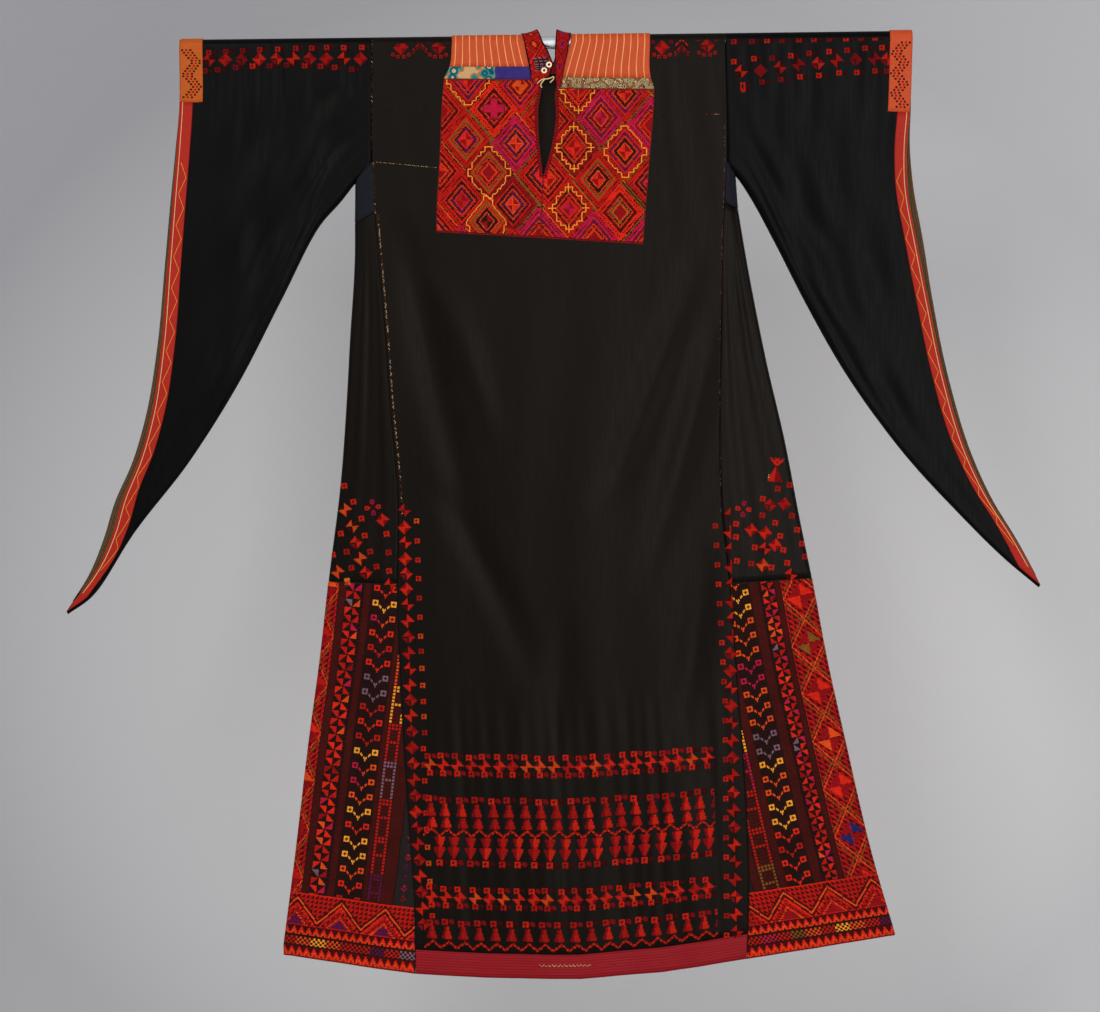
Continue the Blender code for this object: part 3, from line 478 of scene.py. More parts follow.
def sleeve_grid(side):
    """The whole sleeve, from the rod's top down the front, round the lower seam and up the back."""
    shares = sleeve_shares()
    ts = np.concatenate([np.linspace(0, 1, PATCH_ROWS + 1), np.linspace(1, 2, WING_ROWS + 1)[1:]])
    front = sleeve(side, FRONT, shares[None, :], ts[:, None])
    back = sleeve(side, BACK, shares[None, :], ts[:, None])
    turn = []
    _, _, in_x, in_z = lower_seam(side, shares)
    for step in range(1, TURN_ROWS):
        angle = math.pi * step / TURN_ROWS
        middle = lerp(front[-1], back[-1], (1 - math.cos(angle)) / 2)
        drop = SLEEVE_TURN(shares) * math.sin(angle)
        middle[:, 0] -= in_x * drop
        middle[:, 2] -= in_z * drop
        turn.append(middle)
    top_x = lerp(SEAM[side](0) + side * GAP / 2, OPENING[side](0), shares)

    def over(start, end):
        rows = []
        for angle in np.radians(np.linspace(start, end, 9)):
            if 1e-6 < angle < math.pi - 1e-6:
                ones = np.ones_like(top_x)
                y, z = -WRAP * math.cos(angle), WRAP * math.sin(angle)
                rows.append(np.stack([top_x, y * ones, z * ones], -1))
        return np.array(rows)

    return np.concatenate([over(90, 0), front, np.array(turn), back[::-1], over(180, 90)])


def sleeve_find(side, face, x, z):
    """The point of a sleeve's layer that lies at x and z in front view."""
    head, cuff = SEAM[side](0) + side * GAP / 2, OPENING[side](0)
    share = np.clip((x - head) / (cuff - head), 0, 1)
    t = np.clip(z / PATCH_FOOT[side], 0, 2)
    for _ in range(8):
        here = sleeve(side, face, share, t)
        share = np.clip(share + (x - here[..., 0]) / (cuff - head), 0, 1)
        t = np.clip(t + (z - here[..., 2]) / lerp(PATCH_FOOT_AT_ARMHOLE, PATCH_FOOT[side], share) * 0.8, 0, 2)
    return sleeve(side, face, share, t)


# Meshes

STITCHERY = {}  # stitched pieces by the name of the cloth piece that carries them


def to_object(name, vertices, faces, material):
    mesh = bpy.data.meshes.new(name)
    mesh.from_pydata((np.asarray(vertices) * MM).tolist(), [], np.asarray(faces).tolist())
    mesh.validate()
    mesh.shade_smooth()
    obj = bpy.data.objects.new(name, mesh)
    bpy.context.scene.collection.objects.link(obj)
    mesh.materials.append(material)
    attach(obj, "root")
    return obj


def quads(rows, cols):
    r, c = np.meshgrid(np.arange(rows), np.arange(cols), indexing="ij")
    a = r * (cols + 1) + c
    return np.stack([a, a + cols + 1, a + cols + 2, a + 1], axis=-1).reshape(-1, 4), r.ravel(), c.ravel()


WELD = 0.02  # points this near in millimetres are one


def shell(name, grids, material, skip, uvs):
    """A thin wall of cloth on one or more grids of its inner face, welded where they meet.
    uvs are millimetres along the cloth, across and down."""
    points, faces, flat = [], [], []
    count = 0
    for grid, uv in zip(grids, uvs):
        rows, cols = grid.shape[0] - 1, grid.shape[1] - 1
        found, r, c = quads(rows, cols)
        if skip is not None:
            found = found[~skip(r, c)]
        points.append(grid.reshape(-1, 3))
        faces.append(found + count)
        flat.append(uv.reshape(-1, 2))
        count += points[-1].shape[0]
    points, faces, flat = np.concatenate(points), np.concatenate(faces), np.concatenate(flat)
    places = np.round(points / WELD).astype(np.int64)
    _, first, weld = np.unique(places, axis=0, return_index=True, return_inverse=True)
    weld = weld.ravel()
    corner_uv = flat[faces]
    faces = weld[faces]
    used, faces = np.unique(faces, return_inverse=True)
    faces = faces.reshape(-1, 4)
    obj = to_object(name, points[first][used], faces, material)
    mesh = obj.data
    if len(mesh.polygons) == len(corner_uv):
        layer = mesh.uv_layers.new(name="cloth")
        layer.data.foreach_set("uv", corner_uv.astype(np.float32).ravel())
    wall = obj.modifiers.new("Wall", "SOLIDIFY")
    wall.thickness = CLOTH * MM
    wall.offset = 1.0
    return obj


def coloured(obj, colours):
    """Gives each face's four corners one colour."""
    mesh = obj.data
    layer = mesh.color_attributes.new(name="thread", type="FLOAT_COLOR", domain="CORNER")
    values = np.ones((len(mesh.loops), 4), dtype=np.float32)
    values[:, :3] = np.repeat(colours, 4, axis=0)
    layer.data.foreach_set("color", values.ravel())
    mesh.color_attributes.active_color = layer


def linear(rgb):
    value = np.array(rgb, float) / 255
    return np.where(value <= 0.04045, value / 12.92, ((value + 0.055) / 1.055) ** 2.4)


# Threads by letter: Red, Bright, Crimson, Dark, Orange, Yellow, Purple, Magenta, oliVe, Grey,
# browN, blacK, White, blUe, pInk and the Field of the plain strips
THREADS = {
    "R": (164, 20, 11), "B": (196, 32, 14), "C": (126, 10, 15), "D": (62, 7, 7), "O": (200, 66, 18),
    "Y": (222, 140, 38), "P": (78, 15, 54), "M": (164, 17, 50), "V": (112, 68, 20), "G": (108, 78, 88),
    "N": (40, 13, 9), "K": (15, 11, 9), "W": (205, 176, 126), "U": (30, 32, 84), "I": (190, 46, 62),
    "F": (58, 13, 9),
}
K = {letter: number for number, letter in enumerate(THREADS)}
THREAD_RGB = np.array([linear(rgb) for rgb in THREADS.values()])


class Stitching:
    """Cross stitches: one raised, coloured cell for each number of 0 or more in a chart. A chart
    lies on a grid of the cloth's inner face with one more line each way."""

    def __init__(self, name, carrier, base=CLOTH, shade=1.0):
        self.name, self.carrier, self.base, self.shade = name, carrier + "_cloth", base, shade
        self.points, self.faces, self.colours, self.cells = [], [], [], []
        self.count = 0

    def add(self, chart, grid):
        top = raised(grid, self.base + LIFT).reshape(-1, 3)
        low = raised(grid, self.base - ROOT).reshape(-1, 3)
        rows, cols = chart.shape
        used = chart >= 0
        if not used.any():
            return
        side_a = np.linalg.norm(grid[1:, :-1] - grid[:-1, :-1], axis=2)
        side_b = np.linalg.norm(grid[:-1, 1:] - grid[:-1, :-1], axis=2)
        used &= (side_a > SHORTEST) & (side_b > SHORTEST)
        faces, r, c = quads(rows, cols)
        keep = used.ravel()
        faces, r, c = faces[keep], r[keep], c[keep]
        colour = THREAD_RGB[chart[r, c]]
        around = np.pad(used, 1)
        count = len(top)
        every, colours = [faces], [colour]
        for (dr, dc), (p, q) in (((0, -1), (0, 1)), ((1, 0), (1, 2)), ((0, 1), (2, 3)), ((-1, 0), (3, 0))):
            bare = ~around[r + 1 + dr, c + 1 + dc]
            start, end = faces[bare, p], faces[bare, q]
            every.append(np.stack([end, start, start + count, end + count], axis=-1))
            colours.append(colour[bare])
        every, colours = np.concatenate(every), np.concatenate(colours)
        numbers, packed = np.unique(every, return_inverse=True)
        place = np.concatenate([top, low])
        line, column = np.divmod(np.arange(count), cols + 1)
        flat = np.tile(np.stack([column, line], -1), (2, 1))
        self.points.append(place[numbers])
        self.faces.append(packed.reshape(-1, 4) + self.count)
        self.colours.append(colours)
        self.cells.append(flat[every].reshape(-1, 2))
        self.count += len(numbers)

    def build(self):
        faces = np.concatenate(self.faces)
        colours = np.concatenate(self.colours)
        colours = np.clip(self.shade * colours * (1 + 0.10 * rng.standard_normal((len(colours), 1))), 0, 1)
        obj = to_object(self.name, np.concatenate(self.points), faces, PAINT["stitches"])
        layer = obj.data.uv_layers.new(name="cells")
        layer.data.foreach_set("uv", np.concatenate(self.cells).astype(np.float32).ravel())
        coloured(obj, colours)
        STITCHERY.setdefault(self.carrier, []).append(obj)


def tubes(name, paths, radius, sides, colours):
    """Thin round threads along paths of points, closed at their ends."""
    vertices, faces, tints = [], [], []
    count = 0
    for number, path in enumerate(paths):
        path = np.asarray(path, float)
        ahead = np.gradient(path, axis=0)
        ahead /= np.linalg.norm(ahead, axis=1, keepdims=True) + 1e-9
        across = np.cross(ahead, np.array([0.13, 1.0, 0.07]))
        across /= np.linalg.norm(across, axis=1, keepdims=True) + 1e-9
        out = np.cross(ahead, across)
        r = radius[number] if hasattr(radius, "__len__") else radius
        angle = np.linspace(0, 2 * math.pi, sides, endpoint=False)
        ring = (
            path[:, None]
            + across[:, None] * (r * np.cos(angle))[None, :, None]
            + out[:, None] * (r * np.sin(angle))[None, :, None]
        )
        vertices.append(ring.reshape(-1, 3))
        n = len(path)
        mine = []
        for s in range(n - 1):
            for k in range(sides):
                a, b = s * sides + k, s * sides + (k + 1) % sides
                mine.append([a, b, b + sides, a + sides])
        for start in (0, (n - 1) * sides):
            turn = range(sides) if start else range(sides - 1, -1, -1)
            ends = [start + k for k in turn]
            for k in range(1, sides - 2, 2):
                mine.append([ends[0], ends[k], ends[k + 1], ends[k + 2]])
        faces.append(np.array(mine) + count)
        tints.append(np.full(len(mine), number))
        count += n * sides
    faces = np.concatenate(faces)
    obj = to_object(name, np.concatenate(vertices), faces, PAINT["yarn"])
    coloured(obj, THREAD_RGB[np.array(colours)[np.concatenate(tints)]])
    return obj


# Materials


class Paint:
    """A node material around one Principled shader."""

    def __init__(self, name, **fixed):
        self.material = bpy.data.materials.new(name)
        self.material.use_nodes = True
        self.tree = self.material.node_tree
        self.shader = self.tree.nodes["Principled BSDF"]
        for key, value in fixed.items():
            self.shader.inputs[key.replace("_", " ")].default_value = value

    def node(self, kind, inputs=None, **settings):
        node = self.tree.nodes.new("ShaderNode" + kind)
        for key, value in settings.items():
            setattr(node, key, value)
        for key, value in (inputs or {}).items():
            socket = node.inputs[key]
            if isinstance(value, bpy.types.NodeSocket):
                self.tree.links.new(value, socket)
            else:
                socket.default_value = value
        return node

    def math(self, operation, *values, clamp=False):
        node = self.node("Math", dict(enumerate(values)), operation=operation, use_clamp=clamp)
        return node.outputs[0]

    def mix(self, share, a, b, blend="MIX"):
        node = self.node("Mix", data_type="RGBA", blend_type=blend)
        for key, value in ((0, share), (6, a), (7, b)):
            socket = node.inputs[key]
            if isinstance(value, bpy.types.NodeSocket):
                self.tree.links.new(value, socket)
            else:
                whole = hasattr(value, "__len__") and len(value) == 3
                socket.default_value = (*value, 1.0) if whole else value
        return node.outputs[2]

    def apart(self, a, b):
        """How far two values lie apart."""
        return self.math("ABSOLUTE", self.math("SUBTRACT", a, b))

    def steps(self, value, colours):
        """Flat colours, each from its own position on."""
        ramp = self.node("ValToRGB", {"Fac": value})
        ramp.color_ramp.interpolation = "CONSTANT"
        marks = ramp.color_ramp.elements
        for number, (position, colour) in enumerate(colours):
            mark = marks[number] if number < 2 else marks.new(position)
            mark.position, mark.color = position, (*linear(colour), 1)
        return ramp.outputs[0]

    def noise(self, scale, detail, stretch=(1, 1, 1)):
        where = self.node("TexCoord").outputs["Object"]
        turned = self.node("Mapping", {"Vector": where, "Scale": stretch})
        node = self.node("TexNoise", {"Vector": turned.outputs[0], "Scale": scale, "Detail": detail})
        return node.outputs[0]

    def remap(self, value, low, high, to_low=0.0, to_high=1.0):
        node = self.node(
            "MapRange",
            {"Value": value, "From Min": low, "From Max": high, "To Min": to_low, "To Max": to_high},
        )
        return node.outputs[0]

    def uv(self, name):
        vector = self.node("UVMap", uv_map=name).outputs[0]
        return self.node("SeparateXYZ", {0: vector}).outputs

    def set(self, socket, value):
        self.tree.links.new(value, self.shader.inputs[socket])

    def bump(self, height, strength, distance):
        node = self.node("Bump", {"Height": height, "Strength": strength, "Distance": distance})
        self.set("Normal", node.outputs[0])


def weave(paint, pitch, strength):
    """A plain weave of threads of that pitch, in metres."""
    where = paint.node("TexCoord").outputs["Object"]
    x, _, z = paint.node("SeparateXYZ", {0: where}).outputs
    over = paint.math("SINE", paint.math("MULTIPLY", x, math.pi / pitch))
    under = paint.math("SINE", paint.math("MULTIPLY", z, math.pi / pitch))
    height = paint.math("MULTIPLY_ADD", paint.math("MULTIPLY", over, under), 0.5, paint.noise(900, 3))
    paint.bump(height, strength, 0.0002)


def plain_cloth(name, dark, light, roughness):
    paint = Paint(name, Specular_IOR_Level=0.15)
    broad = paint.noise(14, 3)
    fine = paint.noise(260, 3)
    share = paint.math("MULTIPLY_ADD", fine, 0.6, paint.math("MULTIPLY", broad, 0.5), clamp=True)
    paint.set("Base Color", paint.mix(share, linear(dark), linear(light)))
    paint.set("Roughness", paint.remap(fine, 0.3, 0.7, roughness - 0.06, roughness + 0.08))
    weave(paint, 0.0006, 0.35)
    return paint.material


def stitch_paint():
    paint = Paint("stitches", Roughness=0.62, Specular_IOR_Level=0.04)
    tint = paint.node("VertexColor", layer_name="thread").outputs[0]
    u, v, _ = paint.uv("cells")
    u = paint.math("FRACT", u)
    v = paint.math("FRACT", v)
    over = paint.apart(u, v)
    under = paint.apart(paint.math("ADD", u, v), 1.0)
    ridge_over = paint.remap(over, 0.05, 0.42, 1.0, 0.0)
    ridge_under = paint.remap(under, 0.05, 0.42, 0.85, 0.0)
    height = paint.math("MAXIMUM", ridge_over, ridge_under)
    wear = paint.noise(35, 3)
    fuzz = paint.noise(700, 2)
    # Painted shade: each stitch is darker away from its crossing threads' ridges, in the hollows between
    # them; the wear noise varies its tone at random
    shade = paint.math("MULTIPLY_ADD", height, 0.40, 0.66)
    shade = paint.math("MULTIPLY", shade, paint.remap(wear, 0.3, 0.7, 0.86, 1.12))
    grey = paint.node("CombineColor", {0: shade, 1: shade, 2: shade}).outputs[0]
    paint.set("Base Color", paint.mix(1.0, tint, grey, "MULTIPLY"))
    paint.bump(paint.math("MULTIPLY_ADD", fuzz, 0.25, height), 0.6, 0.0004)
    return paint.material


def yarn_paint():
    paint = Paint("yarn", Roughness=0.6, Specular_IOR_Level=0.1)
    tint = paint.node("VertexColor", layer_name="thread").outputs[0]
    twist = paint.noise(1400, 2, (1, 1, 0.4))
    grey = paint.remap(twist, 0.3, 0.7, 0.75, 1.15)
    both = paint.node("CombineColor", {0: grey, 1: grey, 2: grey}).outputs[0]
    paint.set("Base Color", paint.mix(1.0, tint, both, "MULTIPLY"))
    paint.bump(twist, 0.4, 0.0002)
    return paint.material


def satin_paint(name, dark, light, gloss, tint):
    """Black satin with the faint upright streaks of its threads."""
    paint = Paint(name, Specular_IOR_Level=gloss, Specular_Tint=tint)
    streak = paint.noise(420, 3, (1, 1, 0.06))
    broad = paint.noise(7, 3, (1, 1, 0.5))
    share = paint.math("MULTIPLY_ADD", streak, 0.55, paint.math("MULTIPLY", broad, 0.6), clamp=True)
    paint.set("Base Color", paint.mix(share, linear(dark), linear(light)))
    paint.set("Roughness", paint.remap(streak, 0.3, 0.7, 0.36, 0.48))
    soft = paint.noise(30, 3, (1.6, 1.6, 0.35))
    fine = paint.math("MULTIPLY_ADD", streak, 0.12, soft)
    paint.bump(fine, 0.30, 0.0016)
    return paint.material


def stripe_paint():
    """Orange silk with narrow pale stripes about 10 mm apart."""
    paint = Paint("striped_silk", Specular_IOR_Level=0.14)
    u = paint.uv("cloth")[0]
    drift = paint.math("MULTIPLY_ADD", paint.noise(8, 2), 1.4, u)
    phase = paint.math("FRACT", paint.math("DIVIDE", drift, 10.4))
    line = paint.math("LESS_THAN", paint.apart(phase, 0.5), 0.062)
    slub = paint.noise(300, 3, (1, 1, 0.12))
    ground = paint.mix(slub, linear((158, 52, 18)), linear((182, 74, 33)))
    worn = paint.remap(paint.noise(60, 3), 0.25, 0.6, 0.55, 1.0)
    paint.set("Base Color", paint.mix(paint.math("MULTIPLY", line, worn), ground, linear((216, 146, 84))))
    paint.set("Roughness", paint.remap(slub, 0.3, 0.7, 0.42, 0.56))
    weave(paint, 0.0005, 0.3)
    return paint.material


PRINT_STEPS = (0.0, 0.14, 0.24, 0.34, 0.46, 0.58, 0.66)


def print_paint(name, grounds, size, split=None):
    """Small generic flowers and leaves on a printed ground, warped so that none repeats."""
    paint = Paint(name, Roughness=0.75, Specular_IOR_Level=0.08)
    u, v, _ = paint.uv("cloth")
    where = paint.node("CombineXYZ", {0: u, 1: v, 2: 0.0}).outputs[0]
    wobble = paint.node("TexNoise", {"Vector": where, "Scale": 0.18, "Detail": 2.0}).outputs[1]
    bent = paint.mix(0.5, where, wobble, "ADD")
    cells = paint.node("TexVoronoi", {"Vector": bent, "Scale": 1 / size, "Randomness": 0.85})
    colour = paint.steps(cells.outputs["Distance"], list(zip(PRINT_STEPS, grounds)))
    if split:
        side = paint.math("GREATER_THAN", paint.math("MULTIPLY_ADD", paint.noise(40, 2), 14.0, u), split)
        plain = paint.mix(paint.noise(120, 2), linear((34, 28, 84)), linear((54, 42, 108)))
        colour = paint.mix(side, colour, plain)
    paint.set("Base Color", colour)
    weave(paint, 0.0005, 0.3)
    return paint.material


def ribbed_paint(name, dark, light, pitch):
    """Silk with fine ribs across its length, in millimetres of its own map."""
    paint = Paint(name, Specular_IOR_Level=0.1)
    v = paint.uv("cloth")[1]
    rib = paint.math("SINE", paint.math("MULTIPLY", v, 2 * math.pi / pitch))
    slub = paint.noise(240, 3, (0.3, 1, 1))
    # Painted shade of the ribs: lighter on their crests and darker in their troughs, over the slub's own
    # uneven tone
    share = paint.math("MULTIPLY_ADD", rib, 0.16, slub, clamp=True)
    paint.set("Base Color", paint.mix(share, linear(dark), linear(light)))
    paint.set("Roughness", paint.remap(slub, 0.3, 0.7, 0.44, 0.58))
    paint.bump(paint.math("MULTIPLY_ADD", rib, 0.5, slub), 0.35, 0.0002)
    return paint.material


def banded_paint(name, colours, pitch):
    """Stripes along the cloth's length: u of its own map runs across them."""
    paint = Paint(name, Roughness=0.7, Specular_IOR_Level=0.12)
    u = paint.uv("cloth")[0]
    drift = paint.math("MULTIPLY_ADD", paint.noise(30, 2), 0.8, u)
    phase = paint.math("FRACT", paint.math("DIVIDE", drift, pitch))
    stripes = paint.steps(phase, [(number / len(colours), colour) for number, colour in enumerate(colours)])
    worn = paint.remap(paint.noise(300, 3), 0.3, 0.7, 0.0, 0.35)
    paint.set("Base Color", paint.mix(worn, stripes, (0.01, 0.008, 0.006)))
    weave(paint, 0.0005, 0.3)
    return paint.material


def band_paint():
    """Crimson satin quilted by rows of fine dark stitches along the hem."""
    paint = Paint("crimson_satin", Specular_IOR_Level=0.1)
    u, v, _ = paint.uv("cloth")
    slub = paint.noise(240, 3, (0.05, 1, 1))
    ground = paint.mix(slub, linear((116, 10, 18)), linear((142, 16, 26)))
    row = paint.math("FRACT", paint.math("DIVIDE", v, 4.1))
    line = paint.math("LESS_THAN", paint.apart(row, 0.5), 0.10)
    gap = paint.math("LESS_THAN", paint.math("FRACT", paint.math("DIVIDE", u, 2.6)), 0.72)
    paint.set("Base Color", paint.mix(paint.math("MULTIPLY", line, gap), ground, linear((70, 6, 12))))
    paint.set("Roughness", paint.remap(slub, 0.3, 0.7, 0.45, 0.58))
    ridge = paint.apart(row, 0.5)
    paint.bump(paint.math("MULTIPLY_ADD", slub, 0.15, ridge), 0.5, 0.0008)
    return paint.material


def metal_paint():
    paint = Paint("brushed_tube", Metallic=1.0)
    line = paint.noise(300, 3, (0.05, 1, 1))
    paint.set("Base Color", paint.mix(line, (0.55, 0.57, 0.60), (0.78, 0.80, 0.82)))
    paint.set("Roughness", paint.remap(line, 0.3, 0.7, 0.18, 0.32))
    paint.bump(line, 0.08, 0.0002)
    return paint.material


def shell_paint():
    paint = Paint("pearl_button", Coat_Weight=0.4, Coat_Roughness=0.2)
    swirl = paint.noise(500, 3)
    paint.set("Base Color", paint.mix(swirl, linear((212, 186, 142)), linear((246, 230, 200))))
    paint.set("Roughness", paint.remap(swirl, 0.3, 0.7, 0.28, 0.42))
    return paint.material


LEFT_PRINT = [
    (176, 62, 34), (190, 160, 116), (30, 100, 96), (20, 62, 78), (40, 116, 108), (164, 92, 50),
    (176, 140, 96),
]
RIGHT_PRINT = [
    (190, 166, 120), (26, 24, 26), (168, 140, 92), (40, 58, 46), (176, 150, 104), (30, 30, 36), (120, 70, 40),
]
FACING_STRIPES = [(58, 40, 26), (96, 80, 44), (40, 26, 20), (120, 78, 44), (60, 44, 28)]
PAINT = {
    "stitches": stitch_paint(),
    "yarn": yarn_paint(),
    "satin": satin_paint("body_satin", (4, 2, 1), (12, 8, 6), 0.07, (1.0, 0.86, 0.75, 1.0)),
    "sleeve": satin_paint("sleeve_satin", (0, 0, 0), (4, 3, 3), 0.052, (1.0, 0.97, 0.94, 1.0)),
    "navy": plain_cloth("navy_cotton", (6, 8, 14), (13, 16, 24), 0.75),
    "red": plain_cloth("red_ground", (84, 16, 16), (120, 24, 20), 0.7),
    "panel": plain_cloth("panel_ground", (14, 9, 7), (24, 16, 13), 0.75),
    "crimson": band_paint(),
    "brown": plain_cloth("brown_cotton", (58, 26, 20), (88, 42, 32), 0.8),
    "stripe": stripe_paint(),
    "print_left": print_paint("printed_left", LEFT_PRINT, 13, split=-72),
    "print_right": print_paint("printed_right", RIGHT_PRINT, 5.6),
    "amber": ribbed_paint("amber_silk", (152, 64, 14), (176, 84, 22), 1.1),
    "orange": ribbed_paint("orange_silk", (160, 54, 22), (184, 74, 35), 1.1),
    "brick": ribbed_paint("brick_silk", (136, 22, 13), (162, 33, 19), 1.3),
    "olive": banded_paint("olive_stripes", FACING_STRIPES, 6.0),
    "metal": metal_paint(),
    "button": shell_paint(),
}


# The cloth pieces

def from_left(grid, side):
    return grid if side == LEFT else grid[:, ::-1]


def plan_uv(grid):
    """Millimetres across and down a grid, measured along its middle lines."""
    across = np.linalg.norm(np.diff(grid, axis=1), axis=2).mean(axis=0)
    down = np.linalg.norm(np.diff(grid, axis=0), axis=2).mean(axis=1)
    u = np.concatenate([[0], np.cumsum(across)])
    v = np.concatenate([[0], np.cumsum(down)])
    u, v = np.meshgrid(u, -v)
    return np.stack([u, v], axis=-1)


def piece(name, grids, material, nodes, skip=None, uvs=None):
    """One piece of cloth in place of its solids."""
    uvs = uvs or [plan_uv(grid) for grid in grids]
    obj = shell(name, grids, material, skip, uvs)
    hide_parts(*nodes)


def make_body():
    front, bands = [], []
    band = body_row_number("hem band head", 5)
    for side in (LEFT, RIGHT):
        half = from_left(half_grid(side, FRONT, "hem", 5, 16), side)
        front.append(half[: band + 1])
        bands.append(half[band:].copy())
    for grid in bands:
        way = grid[1] - grid[0]
        grid[0] += way / np.linalg.norm(way, axis=1, keepdims=True) * GAP
    nodes = ("front", "front_shoulder_left", "front_shoulder_right")
    piece("front_cloth", front, PAINT["satin"], nodes)
    piece("hem_band_cloth", bands, PAINT["crimson"], ("hem_band",))
    down, across, neck_cells = 4, 9, 8
    left = half_grid(LEFT, BACK, "hem", down, across)
    right = half_grid(RIGHT, BACK, "hem", down, across)[:, ::-1]
    lines = []
    for from_seam, to_seam in zip(left, right):
        start, end = from_seam[-1], to_seam[0]
        share = np.linspace(0, 1, neck_cells + 1)[1:-1, None]
        between = lerp(start, end, share)
        if start[2] <= 0 and start[1] > 0:
            between = body(between[:, 0], ARC - between[:, 2])
        lines.append(np.concatenate([from_seam, between, to_seam]))
    whole = np.array(lines)[:, ::-1]
    middle = (SEAM_CELLS + CHEST_CELLS) * across
    open_row = body_row_number("yoke foot", down)

    def at_neck(row, column):
        return (row < open_row) & (column >= middle) & (column < middle + neck_cells)

    nodes = ("back", "back_shoulders")
    piece("back_cloth", [whole], PAINT["satin"], nodes, skip=at_neck)
    inside = raised(whole[-3:], -(CLOTH + GAP))
    way = inside[-1] - inside[-2]
    way /= np.linalg.norm(way, axis=1, keepdims=True)
    foot = inside[-1] + way * FACING_LENGTH
    head = foot - way * FACING_HEAD
    facing = np.array([lerp(head, foot, t) for t in np.linspace(0, 1, 5)])[:, 1:-1]
    piece("back_hem_facing_cloth", [facing], PAINT["brown"], ("back_hem_facing",))


def make_sides():
    for side, word in SIDES:
        head = gore_grid(side, "slit foot", "gusset foot", 10, 16)
        x, z, in_x, in_z = lower_seam(side, np.array([0.0, PIT_COLUMN]))
        drop = SLEEVE_TURN(np.array([0.0, PIT_COLUMN]))
        pit_x, pit_z = x + in_x * drop, z + in_z * drop
        foot = head[-1]
        first = head[0].copy()
        along = (first[:, 0] - pit_x[0]) / (pit_x[1] - pit_x[0])
        first[:, 2] = lerp(pit_z[0], pit_z[1], along) - GUSSET_CLEARANCE
        gusset = np.array([lerp(first, foot, t) for t in np.linspace(0, 1, 11)])
        gusset[-1, :, 2] += GAP / 2
        plan = {
            "gusset": (gusset, PAINT["navy"], "navy_cotton"),
            "side": (gore_grid(side, "gusset foot", "side panel head", 6, 26), PAINT["satin"], "black_satin"),
            "side_panel": (
                gore_grid(side, "side panel head", "hem", 5, 34), PAINT["panel"], "red_embroidery",
            ),
        }
        for name, (grid, material, slot) in plan.items():
            grid = grid.copy()
            if name != "gusset":
                grid[0, :, 2] -= GAP / 2
            if name == "side":
                grid[-1, :, 2] += GAP / 2
            node = name + "_" + word
            piece(node + "_cloth", [from_left(grid, -side)], material, (node,))


def make_sleeves():
    s = SLEEVE_SHARES
    patch, strip = s["pit"] + s["wing"], s["pit"] + s["wing"] + s["patch"]
    over_rows = 8
    front_foot = over_rows + PATCH_ROWS
    lower = front_foot + WING_ROWS
    back_lower = lower + TURN_ROWS
    back_foot = back_lower + WING_ROWS
    for side, word in SIDES:
        grid = sleeve_grid(side)
        out = raised(from_left(grid, -side), CLOTH + GAP)
        out = from_left(out, -side)
        inside = from_left(raised(from_left(grid, -side), -(CLOTH + GAP)), -side)
        patch_grid = np.concatenate([out[back_foot:-1], out[: front_foot + 1]])[:, patch:]
        pieces = {
            "sleeve": ([grid], PAINT["sleeve"], "black_satin"),
            "cuff_patch": ([patch_grid], PAINT["amber" if side == LEFT else "orange"], "amber_silk"),
            "cuff_strip_front": ([out[front_foot : lower + 1, strip:]], PAINT["brick"], "brick_silk"),
            "cuff_strip_back": ([out[back_lower : back_foot + 1, strip:]], PAINT["brick"], "brick_silk"),
            "cuff_facing": ([inside[back_lower + 3 : back_foot + 1, strip:]], PAINT["olive"], "olive_stripe"),
        }
        for name, (grids, material, slot) in pieces.items():
            grids = [from_left(g, -side) for g in grids]
            node = name + "_" + word
            piece(node + "_cloth", grids, material, (node,))


def make_chest():
    layer = CLOTH + GAP
    for side, word in SIDES:
        down, across = 6, 12
        front = half_grid(side, FRONT, "chest foot", down, across)
        outer = from_left(raised(from_left(front, side), layer), side)[:, SEAM_CELLS * across :]
        foot, strip, chest = (body_row_number(n, down) for n in ("yoke foot", "strip foot", "chest foot"))
        back = half_grid(side, BACK, "yoke foot", down, across)
        behind = from_left(raised(from_left(back, side), -layer), side)[:, SEAM_CELLS * across :]
        over = np.concatenate([behind[:0:-1], outer[: foot + 1]])
        pieces = {
            "yoke": (over, PAINT["stripe"], "orange_stripe"),
            "yoke_strip": (outer[foot : strip + 1], PAINT["print_" + word], "printed_cotton"),
            "chest_panel": (outer[strip : chest + 1], PAINT["red"], "red_embroidery"),
        }
        for name, (grid, material, slot) in pieces.items():
            grid = grid.copy()
            if name != "yoke":
                way = grid[1] - grid[0]
                grid[0] += way / np.linalg.norm(way, axis=1, keepdims=True) * GAP
            grid = from_left(grid, side)
            uv = grid[..., (0, 2)].copy()
            if name == "yoke":
                uv = plan_uv(grid)
                uv[..., 0] += grid[-1, 0, 0]
            node = name + "_" + word
            piece(node + "_cloth", [grid], material, (node,), uvs=[uv])


